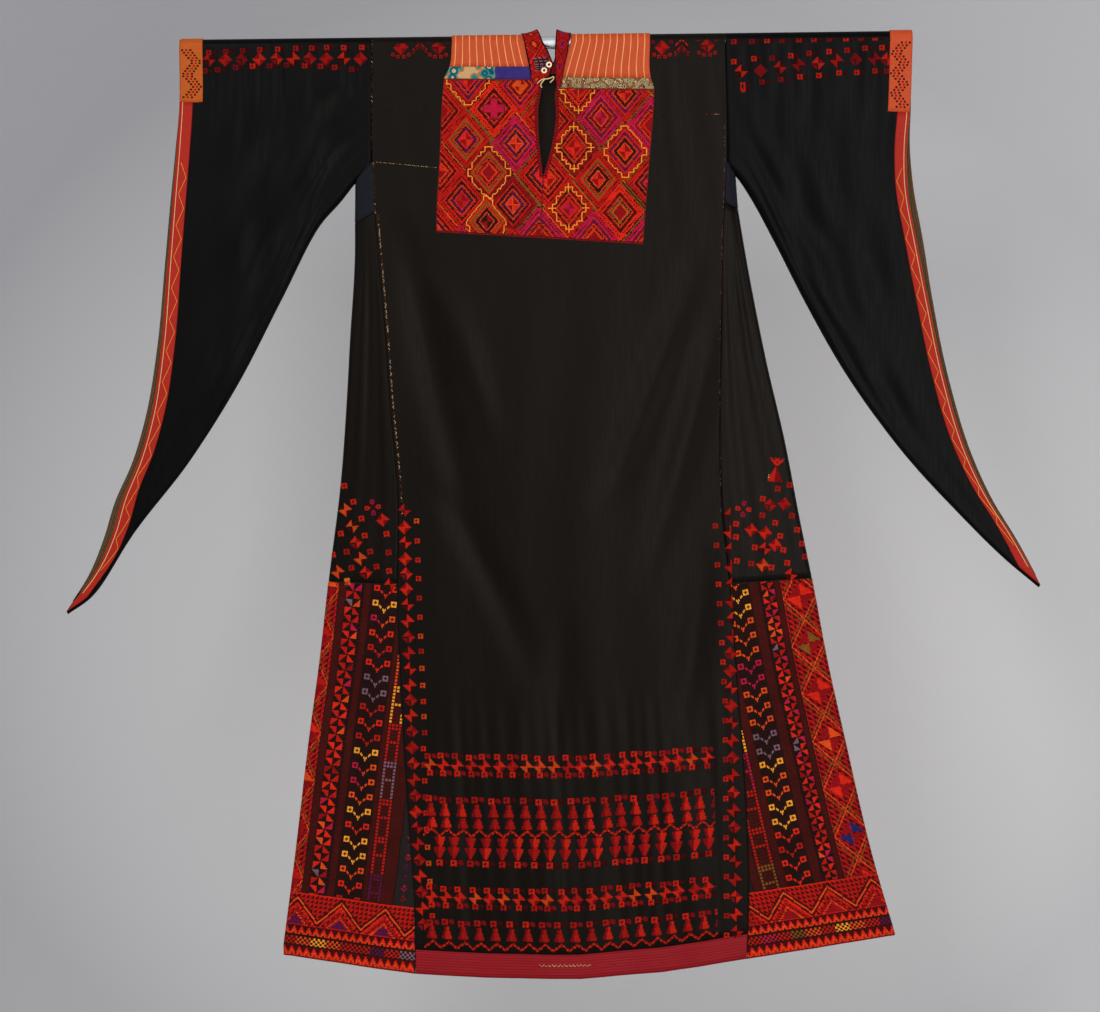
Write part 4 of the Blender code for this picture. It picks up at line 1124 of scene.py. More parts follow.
# The collar's lines across it: cells, outer x and height along the cloth, inner x and height, lift
COLLAR = {
    LEFT: [
        (0, -26, -56, -12, -61, 0.0), (1, -27, -47, 2, -51, 0.0), (1, -29, -36, 8, -34, 0.5),
        (1, -33, -16, 0, -14, 2.0), (1, -36, 0, -8, 0, 4.0), (3, -40, ARC / 2, -17, ARC / 2, 6.0),
        (3, -39, ARC, -16, ARC, 4.5), (1, -34, 52, -13, 44, 2.0), (1, -21, 76, -8, 58, 0.5),
        (1, -0.15, 86, -0.15, 63, 0.0),
    ],
    RIGHT: [
        (0, 18, -69, 12, -68, 0.0), (1, 21, -56, 10.5, -54, 0.0), (1, 24, -38, 10, -36, 0.5),
        (1, 29, -16, 10, -16, 2.0), (1, 32, 0, 11, 0, 4.0), (3, 35, ARC / 2, 13, ARC / 2, 6.0),
        (3, 36, ARC, 15, ARC, 4.5), (1, 33, 52, 12, 44, 2.0), (1, 21, 76, 8, 58, 0.5),
        (1, 0.15, 86, 0.15, 63, 0.0),
    ],
}
COLLAR_LAYER = 2 * (CLOTH + GAP)


def collar_grid(side, finer, across):
    lines = []
    keys = [(line[0] * finer, np.array(line, float)) for line in COLLAR[side]]
    share = np.linspace(0, 1, across + 1)
    for _, outer_x, outer_h, inner_x, inner_h, lift in spread(keys):
        x, h = lerp(outer_x, inner_x, share), lerp(outer_h, inner_h, share)
        at = body(x, h)
        step = 0.5
        slope_x = (body(x + step, h) - body(x - step, h)) / (2 * step)
        slope_h = (body(x, h + step) - body(x, h - step)) / (2 * step)
        out = np.cross(slope_x, slope_h)
        out /= np.linalg.norm(out, axis=1, keepdims=True)
        lines.append(at + out * (COLLAR_LAYER + lift * share * share)[:, None])
    return from_left(np.array(lines)[::-1], side)


def make_collar():
    for side, word in SIDES:
        node = "collar_" + word
        grids = [collar_grid(side, 8, 8)]
        piece(node + "_cloth", grids, PAINT["red"], (node,))


# Cross stitch

PIXEL = 1.49  # millimetres of the robe for each pixel of the photograph
TURN = math.radians(0.706)


def mm(px, py):
    """Across and up in millimetres from a place measured in the photograph."""
    dx, dy = np.asarray(px, float) - 548, np.asarray(py, float) - 42
    return (
        PIXEL * (dx * math.cos(TURN) - dy * math.sin(TURN)),
        -PIXEL * (dx * math.sin(TURN) + dy * math.cos(TURN)),
    )


def chart_of(text, **swap):
    rows = text.split()
    made = np.full((len(rows), max(len(row) for row in rows)), -1)
    for r, row in enumerate(rows):
        for c, letter in enumerate(row):
            letter = swap.get(letter, letter)
            if letter in K:
                made[r, c] = K[letter]
    return made


def ring(colour, hole):
    return chart_of("XXXXX XXhXX XhhhX XXhXX XXXXX", X=colour, h=hole)


def square(colour, beside):
    """The small square with its notch, and the darker bar beside it."""
    return chart_of("XXXXX.ddd. XX.XX.dddd X..XXddddd XXXXX..ddd XX.XX.....", X=colour, d=beside)


def windmill(n, bright, dim, flip):
    """A diamond in four triangles, two bright and two dim."""
    at = np.arange(-n, n + 1)
    x, y = np.meshgrid(at, at)
    made = np.full(x.shape, -1)
    inside = np.abs(x) + np.abs(y) <= n
    same = (x * y > 0) != flip
    made[inside & same] = K[bright]
    made[inside & ~same & (x * y != 0)] = K[dim]
    made[inside & (x == 0) & (y < 0) | inside & (y == 0) & (x > 0)] = K[bright]
    return made


def vase(height, wide, bright, dim, narrow=3):
    """A bell or vase whose left third is dim."""
    made = np.full((height, wide), -1)
    for r in range(height):
        half = lerp(narrow / 2, wide / 2, math.sin(r / (height - 1) * math.pi / 2) ** 1.6)
        for c in range(wide):
            if abs(c + 0.5 - wide / 2) <= half:
                made[r, c] = K[dim if c + 0.5 < wide / 2 - half * 0.2 else bright]
    return made


def stamp(chart, motif, row, col):
    """Lays a motif's filled cells on a chart, its top left at row and col."""
    for r in range(motif.shape[0]):
        for c in range(motif.shape[1]):
            if motif[r, c] >= 0 and 0 <= row + r < chart.shape[0] and 0 <= col + c < chart.shape[1]:
                chart[row + r, col + c] = motif[r, c]


def shades(*letters):
    """A thread letter at random, those named more often more likely."""
    return letters[int(rng.integers(len(letters)))]


def body_line(middle_z):
    """The row of cloth at that height in the front's middle, as a function of x."""
    names = ["side panel head", "hem band head", "hem"]
    middles = [ROWS[name][2] for name in names][::-1]
    row = [np.interp(middle_z, middles, [ROWS[name][k] for name in names][::-1]) for k in range(1, 7)]
    left, right = half_points(LEFT, FRONT, row), half_points(RIGHT, FRONT, row)
    points = np.array([left[0], left[1], left[2], right[1], right[0]])
    return lambda x: np.interp(x, points[:, 0], points[:, 1])


def front_at(x, z):
    return body(x, np.minimum(z, 0))


def gore_at(side):
    def find(x, z):
        seam_z = z
        for _ in range(4):
            rise, radius, seam_x, flat_x = gore_frame(side, seam_z)
            across = (x - seam_x) / (flat_x - seam_x)
            seam_z = z - rise * np.clip(across, 0, 1)
        u = radius * math.pi / 2 + (1 - across) * side * (flat_x - seam_x)
        return gore(side, u, seam_z)

    return find


def sleeve_at(side):
    return lambda x, z: sleeve_find(side, FRONT, x, z)


def put(stitching, surface, motif, px, py, pitch, lean=0.0):
    """One motif centred at a measured place."""
    x, z = mm(px, py)
    rows, cols = motif.shape
    c, r = np.meshgrid((np.arange(cols + 1) - cols / 2) * pitch, (np.arange(rows + 1) - rows / 2) * pitch)
    cos, sin = math.cos(lean), math.sin(lean)
    stitching.add(motif, surface(x + c * cos + r * sin, z - r * cos + c * sin))


# Measured places of the sleeve bands' motifs, in pixels of the photograph
SLEEVE_BANDS = {
    LEFT: {
        "top": ([223, 240, 255, 273, 290, 308, 322, 338, 354], [39.5] * 9),
        "upper": (
            [210, 227, 244, 261, 279, 297, 313, 328, 345, 363],
            [53, 52, 51, 50, 49.4, 48.8, 48.4, 48, 48, 47.8],
        ),
        "stars": (
            [207, 224, 240, 258, 275, 292, 308, 325, 342, 359],
            [60.5, 60.3, 60, 59.6, 59.3, 59.1, 59, 59, 59, 59],
        ),
        "lower": (
            [206, 219, 237, 254, 271, 288, 306, 322, 336, 353],
            [71, 70, 67.6, 66.4, 66, 65, 66, 66.4, 67.6, 69.6],
        ),
    },
    RIGHT: {
        "top": (
            [735, 753, 768, 783, 800, 815, 830, 847, 862, 876],
            [40, 39.5, 39, 38.6, 38.2, 37.8, 37.4, 37, 36.6, 36.2],
        ),
        "upper": (
            [735, 755, 773, 792, 810, 830, 848, 866, 883],
            [62, 59, 58.6, 56, 53.6, 52, 50.6, 48.6, 48],
        ),
        "stars": ([739, 759, 778, 797, 816, 835, 854, 873, 885], [72, 71, 68, 65, 64, 61, 60, 59, 60]),
        "lower": (
            [744, 763, 782, 801, 820, 840, 858, 876, 888],
            [85, 82, 79.6, 77, 75.6, 73, 72.6, 71, 71],
        ),
    },
}


def stitch_sleeves():
    for side, word in SIDES:
        stitching = Stitching("sleeve_band_" + word, "sleeve_" + word, shade=0.62)
        surface = sleeve_at(side)
        for row, (xs, ys) in SLEEVE_BANDS[side].items():
            for number, (px, py) in enumerate(zip(xs, ys)):
                if row == "stars":
                    motif = windmill(6, shades("R", "R", "C", "B"), shades("D", "D", "C"), bool(number % 2))
                else:
                    motif = square(shades("B", "R", "C"), shades("D", "D"))[:: 1 if row != "lower" else -1]
                put(stitching, surface, motif, px + 1.5, py + (2.0 if row == "top" else 0), 1.6)
        stitching.build()


def shoulder_patches(stitching):
    """An embroidered patch by each end of the yoke."""
    for px, py in ((401, 48), (438, 48), (662, 48), (707, 46)):
        put(stitching, front_at, windmill(6, "R", "C", px in (401, 662)), px, py, 1.75)
        for dx, dy in ((-9, -6), (9, -6), (-8, 7), (-3, 9), (3, 9), (8, 7)):
            put(stitching, front_at, square("C" if dy < 0 else "R", "D")[:4, :4], px + dx, py + dy, 1.3)
    for px, py in ((420, 44), (681.6, 47)):
        for row, thread in enumerate("BDRC"):
            arrow = np.full((11, 17), -1)
            for k in range(8):
                if (k + row) % 4 != 3:
                    arrow[k, 8 - k] = arrow[k, 8 + k] = K[thread]
                    arrow[k + 1, 8 - k] = arrow[k + 1, 8 + k] = K[thread]
            put(stitching, front_at, arrow, px, py - 3 + row * 3.3, 1.45)


def stitch_hem(stitching):
    """Four bands of squares, stars and vases across the front's foot."""
    left_x, right_x = mm(424, 850)[0], mm(716, 850)[0]

    def band(first_y, period, rows_mm, fill, pitch):
        cols = int((right_x - left_x) / pitch)
        rows = int(rows_mm / pitch)
        chart = np.full((rows, cols), -1)
        fill(chart, period, pitch)
        _, top = mm(548, first_y)
        grid = []
        xs = left_x + np.arange(cols + 1) * pitch
        for r in range(rows + 1):
            z = body_line(top - r * pitch)(xs)
            grid.append(body(xs, z))
        stitching.add(chart, np.array(grid))

    def stars(chart, period, pitch):
        at = 1.0
        while at < chart.shape[1]:
            col = int(at) + int(rng.random() < 0.25)
            stamp(chart, square(shades("B", "B", "R"), shades("D", "C")), 0 + int(rng.integers(2)), col + 1)
            stamp(chart, windmill(5, shades("B", "B", "R", "O"), shades("C", "C", "D"), True), 5, col)
            stamp(chart, square(shades("B", "R"), shades("D", "C")), 15, col + 3)
            at += period / pitch

    def squares_and_vase(chart, col, row):
        stamp(chart, square(shades("R", "B", "R"), shades("D", "C")), row + int(rng.integers(2)), col + 1)
        stamp(chart, vase(10, 8, shades("B", "R", "R"), "C"), row + 6, col + 1)

    def zigzag(chart, period, pitch, row, height):
        for c in range(chart.shape[1]):
            phase = (c * pitch / period) % 1.0
            r = row + round(height * abs(2 * phase - 1))
            for thick, thread in enumerate("ROD" if c % 3 == 0 else "RRD"):
                if 0 <= r + thick < chart.shape[0]:
                    chart[r + thick, c] = K[thread]

    def vases(chart, period, pitch):
        at = 0.5
        zigzag(chart, period, pitch, 25, 5)
        while at < chart.shape[1]:
            col = int(at) + int(rng.random() < 0.3)
            squares_and_vase(chart, col, 0)
            stamp(chart, vase(8, 8, shades("R", "B"), "C", 4), 17, col + 2)
            flip = vase(8, 8, shades("B", "R"), "C", 4)[::-1]
            stamp(chart, flip, 32, col + 2 + int(period / pitch / 2))
            flip = vase(9, 9, shades("R", "B"), "C")[::-1]
            stamp(chart, flip, 40, col + 1 + int(period / pitch / 2))
            stamp(chart, square(shades("R", "B"), shades("D", "C")), 50, col + 3 + int(period / pitch / 2))
            at += period / pitch

    def last(chart, period, pitch):
        at = 1.0
        zigzag(chart, period, pitch, 17, 5)
        while at < chart.shape[1]:
            squares_and_vase(chart, int(at), 0)
            at += period / pitch

    band(754, 20.5, 37, stars, 1.75)
    band(797, 23.6, 106, vases, 1.9)
    band(886, 21.6, 37, stars, 1.75)
    band(920, 23.8, 46, last, 1.85)


FRONT_SEAM_PX = ([520, 583, 700, 830, 915, 960], [395, 397, 401.5, 409, 415, 417])
LEFT_STARS = [
    511, 527.5, 543, 559, 574, 589, 605, 621, 637, 653, 669, 685, 700, 715, 731, 747, 763, 779, 795, 811,
    827, 843,
    859, 875, 891, 907, 923,
]
LEFT_SQUARES = [
    521, 541, 560, 578.5, 598, 617, 636, 651, 668, 685, 701, 716, 732, 748, 764, 780, 796, 812, 828, 846,
    862, 880,
    898, 914,
]


def stitch_columns(stitching):
    """Stars and squares down the front beside each seam."""
    for number, py in enumerate(LEFT_STARS):
        px = max(404 + 11 * number / 19, np.interp(py, *FRONT_SEAM_PX) + 8.5)
        motif = windmill(5, shades("B", "B", "R", "R"), shades("C", "D", "D"), bool(number % 2))
        put(stitching, front_at, motif, px, py, 1.85)
    for number, py in enumerate(LEFT_SQUARES):
        px = max(417 + 13 * number / 19, np.interp(py, *FRONT_SEAM_PX) + 20)
        if py > 740:
            px -= 2
        put(stitching, front_at, square(shades("B", "R", "B", "O"), "D")[:, :5], px, py, 1.55)
    for number in range(22):
        py = 526 + number * 19.4
        px = 715 + 9.5 * min(number, 9) / 9 + 1.5 * max(number - 9, 0) / 13
        put(stitching, front_at, square(shades("B", "R"), "D")[:, :5], px, py, 1.6)
    for number in range(25):
        py = 515 + number * 17.3
        px = 726.5 + 9 * number / 24
        motif = windmill(5, shades("B", "R", "B", "R"), shades("C", "D", "D"), bool(number % 2))
        if number < 8:
            motif = motif[:, :6]
        put(stitching, front_at, motif, px, py, 1.85)


def stitch_front():
    stitching = Stitching("front_embroidery", "front", shade=0.72)
    shoulder_patches(stitching)
    stitch_hem(stitching)
    stitch_columns(stitching)
    stitching.build()


CHEST_PITCH = 1.5
HALF_WIDE, HALF_HIGH = 26.0, 31.5  # a lattice diamond's half diagonals, in pixels
# Centre of each diamond in pixels, then its threads from the rim inwards, the share of the
# diamond that a yellow staircase runs round, and its middle
DIAMONDS = {
    LEFT: [
        (468, 80, "RPMC", 0.78, "C"), (494, 109, "BNDD", 0, "X"), (520, 86, "RPCO", 0, "O"),
        (466, 140, "RVPB", 0, "B"), (516, 144, "MPPB", 0, "O"), (489, 173, "CVRC", 0.78, "R"),
        (462, 201, "RNPR", 0, "B"), (513, 205, "CNPB", 0, "O"), (487, 222, "RVNN", 0.78, "V"),
    ],
    RIGHT: [
        (578, 90, "CDRC", 0.62, "O"), (601, 118, "MPCM", 0, "M"), (625, 94, "RPDC", 0, "C"),
        (574, 148, "CNRC", 0.62, "C"), (625, 152, "RPNB", 0.78, "B"), (598, 180, "RVNB", 0, "R"),
        (569, 209, "RNRM", 0.62, "M"), (620, 213, "BDVC", 0, "P"), (594, 240, "MPBC", 0, "M"),
    ],
}


def stitch_chest():
    for side, word in SIDES:
        stitching = Stitching("chest_embroidery_" + word, "chest_panel_" + word)
        centres = [list(entry) for entry in DIAMONDS[side]]
        for px, py, *_ in list(centres):
            for across, down in ((-1, 1), (1, 1), (-1, -1), (1, -1)):
                dx, dy = across * HALF_WIDE, down * HALF_HIGH
                if all(math.hypot(px + dx - other[0], py + dy - other[1]) > 18 for other in centres):
                    steps = shades("RNPB", "RDRC", "MPRC")
                    centres.append([px + dx, py + dy, steps, 0, shades("C", "M", "R")])
        pitch = CHEST_PITCH
        xs = np.arange(-176, -8, pitch) if side == LEFT else np.arange(-18, 162, pitch)
        zs = np.arange(-50, -316, -pitch)
        x, z = np.meshgrid(xs, zs)
        cx, cz = x[:-1, :-1] + pitch / 2, z[:-1, :-1] - pitch / 2
        best = np.full(cx.shape, 9.0)
        owner = np.zeros(cx.shape, int)
        offsets = []
        for number, (px, py, *_) in enumerate(centres):
            mx, mz = mm(px, py)
            dx, dz = np.abs(cx - mx) / (HALF_WIDE * PIXEL), np.abs(cz - mz) / (HALF_HIGH * PIXEL)
            d = dx + dz
            nearer = d < best
            best[nearer] = d[nearer]
            owner[nearer] = number
            offsets.append((cx - mx, cz - mz))
        chart = np.full(cx.shape, K["D"])
        c, r = np.meshgrid(np.arange(cx.shape[1]), np.arange(cx.shape[0]))
        fine = ((c + r) % 2).astype(bool)
        for number, (px, py, threads, staircase, middle) in enumerate(centres):
            mine = owner == number
            d = best
            rim, outer, inner, core = (K[letter] for letter in threads)
            dx, dz = offsets[number]

            def zone(low, high):
                return mine & (d >= low) & (d < high)

            step = 4.3 * pitch
            level = (np.floor(np.abs(dx) / step) * step / (HALF_WIDE * PIXEL)
                     + np.floor(np.abs(dz) / step) * step / (HALF_HIGH * PIXEL))
            small = 2 * pitch
            finer = (np.floor(np.abs(dx) / small) * small / (HALF_WIDE * PIXEL)
                     + np.floor(np.abs(dz) / small) * small / (HALF_HIGH * PIXEL))
            chart[mine] = K["D"]
            chart[mine & (finer < 0.86)] = rim
            chart[zone(0.76, 0.82) & (((r + c) // 2) % 2 == 0)] = K["D"]
            chart[zone(0.66, 0.70)] = K["B"]
            chart[zone(0.0, 0.66)] = outer
            chart[zone(0.0, 0.66) & (finer < 0.50)] = K["C" if number % 2 else "R"]
            chart[zone(0.46, 0.495)] = K["O"]
            chart[zone(0.0, 0.46)] = K["D"]
            chart[zone(0.0, 0.46) & (finer < 0.33)] = inner
            chart[zone(0.27, 0.31)] = K["O" if number % 3 else "B"]
            chart[zone(0.0, 0.27)] = core
            chart[(dx * dz > 0) & zone(0.0, 0.25)] = K["C" if middle != "C" else "B"]
            chart[zone(0.965, 2.0)] = K["D"]
            chart[zone(0.965, 1.03)] = K["V" if number % 2 else "O"]
            chart[zone(0.965, 1.03) & (dx * dz < 0)] = K["V"]
            if middle == "O":
                far_x, far_z = np.abs(dx), np.abs(dz)
                cross = mine & (np.minimum(far_x, far_z) < 0.8) & (np.maximum(far_x, far_z) < 11)
                chart[cross] = K["O"]
            if middle == "X":
                reach = np.maximum(np.abs(dx), np.abs(dz)), np.minimum(np.abs(dx), np.abs(dz))
                chart[mine & (reach[0] < 17) & (reach[1] < 6.5)] = K["C"]
                chart[mine & (reach[0] < 14.5) & (reach[1] < 5)] = K["M"]
            if staircase:
                inside = mine & (level < staircase) & (d < 1.0)
                within = inside.copy()
                within[1:-1, 1:-1] &= inside[:-2, 1:-1] & inside[2:, 1:-1]
                within[1:-1, 1:-1] &= inside[1:-1, :-2] & inside[1:-1, 2:]
                chart[inside & ~within] = K["Y"]
                if staircase < 0.7:
                    ticks = mine & (d > 0.52) & (d < 0.80) & (np.minimum(np.abs(dx), np.abs(dz)) < 0.9)
                    chart[ticks] = K["Y"]
        top = np.interp(cx, [-160, -13, 11, 160], [-53.5, -56.5, -69.5, -73.5])
        foot_row = ROWS["chest foot"][1:]
        left, right = half_points(LEFT, FRONT, foot_row), half_points(RIGHT, FRONT, foot_row)
        line = np.array([left[0], left[1], left[2], right[1], right[0]])
        foot = np.interp(cx, line[:, 0], line[:, 1])
        edge = CHEST_EDGE[side](cz) * side
        inner = np.where(cz < -202, MIDDLE_LINE(cz), SLIT_EDGE[side](cz)) * side
        keep = (cz < top - 1.5) & (cz > foot + 1.2) & (cx * side < edge - 1.0) & (cx * side > inner + 0.8)
        chart[cz < foot + 3] = np.where(fine, K["C"], K["D"])[cz < foot + 3]
        near_slit = (cx * side < inner + 5) & (cz > -203)
        chart[near_slit] = np.where(r % 3 == 0, K["D"], K["C"])[near_slit]
        chart[~keep] = -1
        grid = raised(body(x, z), CLOTH + GAP)
        stitching.add(chart, grid)
        stitching.build()


def stitch_collar():
    for side, word in SIDES:
        grid = collar_grid(side, 9, 15)
        rows, cols = grid.shape[0] - 1, grid.shape[1] - 1
        c, r = np.meshgrid(np.arange(cols), np.arange(rows))
        d = np.abs((r + 5) % 16 - 8) / 8 + np.abs(c - 7) / 7
        chart = np.where((r + c) % 3 == 0, K["R"], K["C"])
        chart[d < 1.25] = K["B" if side == LEFT else "C"]
        chart[d < 1.08] = K["D"]
        chart[d < 0.94] = K["R"]
        chart[(d < 0.66)] = K["D"]
        chart[(d < 0.52)] = K["M" if side == RIGHT else "C"]
        chart[(d < 0.28)] = K["P" if side == RIGHT else "O"]
        chart[(c == 0) | (c == cols - 1)] = K["K"]
        if side == LEFT:
            block = (r > rows - 24) & (r < rows - 12) & (c > 3) & (c < 13)
            chart[block] = K["N"]
            chart[block & (r % 2 == 0)] = K["G"]
            chart[block & (c % 3 == 0)] = K["D"]
        stitching = Stitching("collar_embroidery_" + word, "collar_" + word)
        stitching.add(chart, grid)
        stitching.build()


# The side panels' embroidery

PANEL = {
    # Columns from the fold, in millimetres: the kind, where it starts and where it ends
    LEFT: [
        ("lozenge", 0, 21), ("brown", 21, 32), ("pinwheel", 32, 57), ("brown", 57, 70), ("chevron", 70, 110),
        ("brown", 110, 119), ("dots", 119, 138.5), ("brown", 138.5, 158), ("buds", 160, 180),
    ],
    RIGHT: [
        ("lozenge", 0, 52), ("brown", 52, 62.5), ("pinwheel", 62.5, 85), ("brown", 85, 100),
        ("chevron", 100, 138.5),
        ("brown", 138.5, 152), ("dots", 152, 177), ("brown", 177, 190),
    ],
}
CHEVRONS = {
    LEFT: "BBYMBRBGGRBRYMMOYBYYOBR",
    RIGHT: "BOYYOOOMMOOOGGYOOYYBRB",
}
CHEVRON_PERIOD = {LEFT: 22.1, RIGHT: 21.4}
LEAN = {LEFT: math.radians(7.0), RIGHT: math.radians(12.0)}
BORDER = 98.0  # height of the border above the hem
LOZENGE_THREADS = {LEFT: "ORRBOCRB", RIGHT: "RBVBOBUB"}
DOT_THREADS = {LEFT: "RROYRGRRPO", RIGHT: "RRRRYMRRVMR"}
NET_THREADS = {LEFT: "ROYORRPRG", RIGHT: "PROYROVRMR"}


def panel_chart(side, rows, cols):
    """Threads for the panel's own rows and columns, columns counted from the fold."""
    chart = np.full((rows, cols), -1)
    c, r = np.meshgrid(np.arange(cols), np.arange(rows))
    for kind, start, end in PANEL[side]:
        first, last = round(start / STITCH), round(end / STITCH)
        wide = last - first
        inside = (c >= first) & (c < last)
        if kind == "lozenge":
            period = 42.7
            middle = 0 if side == LEFT else (wide - 1) / 2
            reach = wide if side == LEFT else wide / 2
            chart[inside] = K["D"]
            chart[inside & ((r % 5) + (c % 5) < 5)] = K["R"]
            chart[inside & ((r % 5) + (c % 5) < 3)] = K["C"]
            dc = c - middle
            for number in range(int(rows / period) + 2):
                dr = r - (number + (0.45 if side == LEFT else -0.05)) * period
                ring_of = np.abs(dr) / (period / 2) + np.abs(dc) / reach
                chart[inside & (np.abs(ring_of - 0.98) < 0.035)] = K["O"]
                chart[inside & (np.abs(ring_of - 1.2) < 0.035) & (np.abs(dr) < 0.7 * period)] = K["V"]
                petal = inside & (np.abs(dr) + np.abs(dc) < 11.5)
                petal &= (np.abs(dc) > 0.4) & (np.abs(dr) > 0.4)
                lit = petal & (dr * dc * side > 0)
                letter = LOZENGE_THREADS[side][number % len(LOZENGE_THREADS[side])]
                chart[petal] = K["D"]
                chart[petal & ~lit] = K["C"]
                chart[lit] = K[letter]
        elif kind == "pinwheel":
            chart[inside] = np.where((r + c) % 4 == 0, K["F"], K["K"])[inside]
            n = max(wide // 2, 6)
            for row in range(rows // n + 1):
                for column in range(2):
                    dr, dc = r - row * n, c - first - column * n
                    here = inside & (dr >= 0) & (dr < n - 1) & (dc >= 0) & (dc < n - 1)
                    turn = (row % 2, column)
                    halves = {
                        (0, 0): dc >= dr, (0, 1): dc + dr >= n - 2, (1, 1): dc <= dr,
                        (1, 0): dc + dr <= n - 2,
                    }
                    upper = halves[turn]
                    rare = "G" if rng.random() < 0.15 else "R"
                    letter = shades("B", "B", "R", "R", "O", "R", "C", "B", "M", rare)
                    chart[here & upper] = K[letter]
        elif kind == "brown":
            chart[inside] = K["F"]
            chart[inside & ((c == first) | (c == last - 1)) & (r % 2 == 0)] = K["K"]
        elif kind == "dots":
            chart[inside] = np.where(r % 3 == 0, K["N"], K["F"])[inside]
            places = np.arange(first, last - 1, 3)
            letters = DOT_THREADS[side]
            for row in range(0, rows, 3):
                letter = letters[(row // 33) % len(letters)]
                rung = (row // 3) % 11 in (0, 1, 5)
                for col in places if rung else (places[0], places[-1]):
                    chart[row : row + 2, col : col + 2] = K[letter]
        elif kind == "buds":
            middle = (first + last) // 2
            for number in range(rows // 9 + 1):
                letter = shades("M", "C", "P", "M", "R")
                sprig = chart_of("..X.. .XXX. ..X.. X...X .X.X. ..X..", X=letter)
                stamp(chart, sprig, number * 9, middle - 2)
        elif kind == "chevron":
            middle = (first + last) // 2
            period = CHEVRON_PERIOD[side] / STITCH
            chart[inside] = np.where(r % 2 == 0, K["K"], K["N"])[inside]
            letters = CHEVRONS[side]
            for number in range(int(rows / period) + 2):
                row = round(number * period)
                letter = letters[number % len(letters)]
                other = "O" if letter == "M" and side == LEFT else letter
                stamp(chart, ring(letter, "K"), row, middle - 10)
                stamp(chart, ring(other, "K"), row, middle + 6)
                for k, size in ((0, 1), (1, 1), (3, 1), (4, 2)):
                    for thick in range(size + 1):
                        if row + 4 + k + thick < rows:
                            chart[row + 4 + k + thick, middle - 4 + k] = K[letter]
                            chart[row + 4 + k + thick, middle + 4 - k] = K[other]
    return chart


def teeth(c, r, period, height):
    """A row of triangles standing on their base."""
    return r > np.abs(2 * ((c / period) % 1.0) - 1) * height


def border_chart(side, cols):
    """Rows down to the hem; columns counted from the fold."""
    rows = int(BORDER / STITCH)
    c, r = np.meshgrid(np.arange(cols), np.arange(rows))
    chart = np.where((r % 4) + (c % 4) < 4, K["R"], K["D"])
    period = 38.4
    swing = np.abs(((c / period + 0.25) % 1.0) * 2 - 1) * 21
    depth = r - 4 - swing
    chart[np.abs(depth) < 3.6] = K["D"]
    chart[(np.abs(depth) < 1.0)] = K["O"]
    chart[(np.abs(depth - 5) < 1.4) & ((r + c) % 5 < 3)] = K["B"]
    chart[(np.abs(depth - 10) < 1.0)] = K["C"]
    chart[(np.abs(depth - 13) < 1.0) & ((r + c) % 4 < 2)] = K["O"]
    heart = (depth > 15) & (r < 28)
    chart[heart] = K["P" if side == LEFT else "C"]
    chart[(r == 0)] = K["B"]
    row = (r >= 29) & (r < 37)
    chart[row] = K["D"]
    chart[row & teeth(c, r - 29, 6.5, 6)] = K["B"]
    chart[row & teeth(c, r - 32, 6.5, 6)] = K["O"]
    chart[row & teeth(c, r - 34, 6.5, 6)] = K["D"]
    net = (r >= 37) & (r < 47)
    chart[net] = K["N"]
    accents = NET_THREADS[side]
    group = np.minimum(c // 13, len(accents) - 1)
    for number, letter in enumerate(accents):
        mesh = net & (group == number) & (r > 38) & (r < 46) & (((r + 1) // 2 + c // 2) % 2 == 0)
        chart[mesh] = K[letter]
    last = (r >= 47)
    chart[last] = K["D"]
    chart[last & teeth(c, r - 47, 6.5, 7)] = K["B"]
    chart[last & teeth(c, r - 50.5, 6.5, 6)] = K["O"]
    chart[last & teeth(c, r - 52, 6.5, 6)] = K["R"]
    chart[r > rows - 2] = K["C"]
    return chart


def side_grid(side, us, targets):
    """Points at distances from the fold and heights, with the height of each at the seam."""
    seam_z = targets + 0.0
    for _ in range(5):
        rise, radius, seam_x, flat_x = gore_frame(side, seam_z)
        across = np.clip(1 - (np.abs(us) - radius * math.pi / 2) / (side * (flat_x - seam_x)), 0, 1)
        seam_z = targets - rise * across
    return gore(side, us, seam_z), seam_z


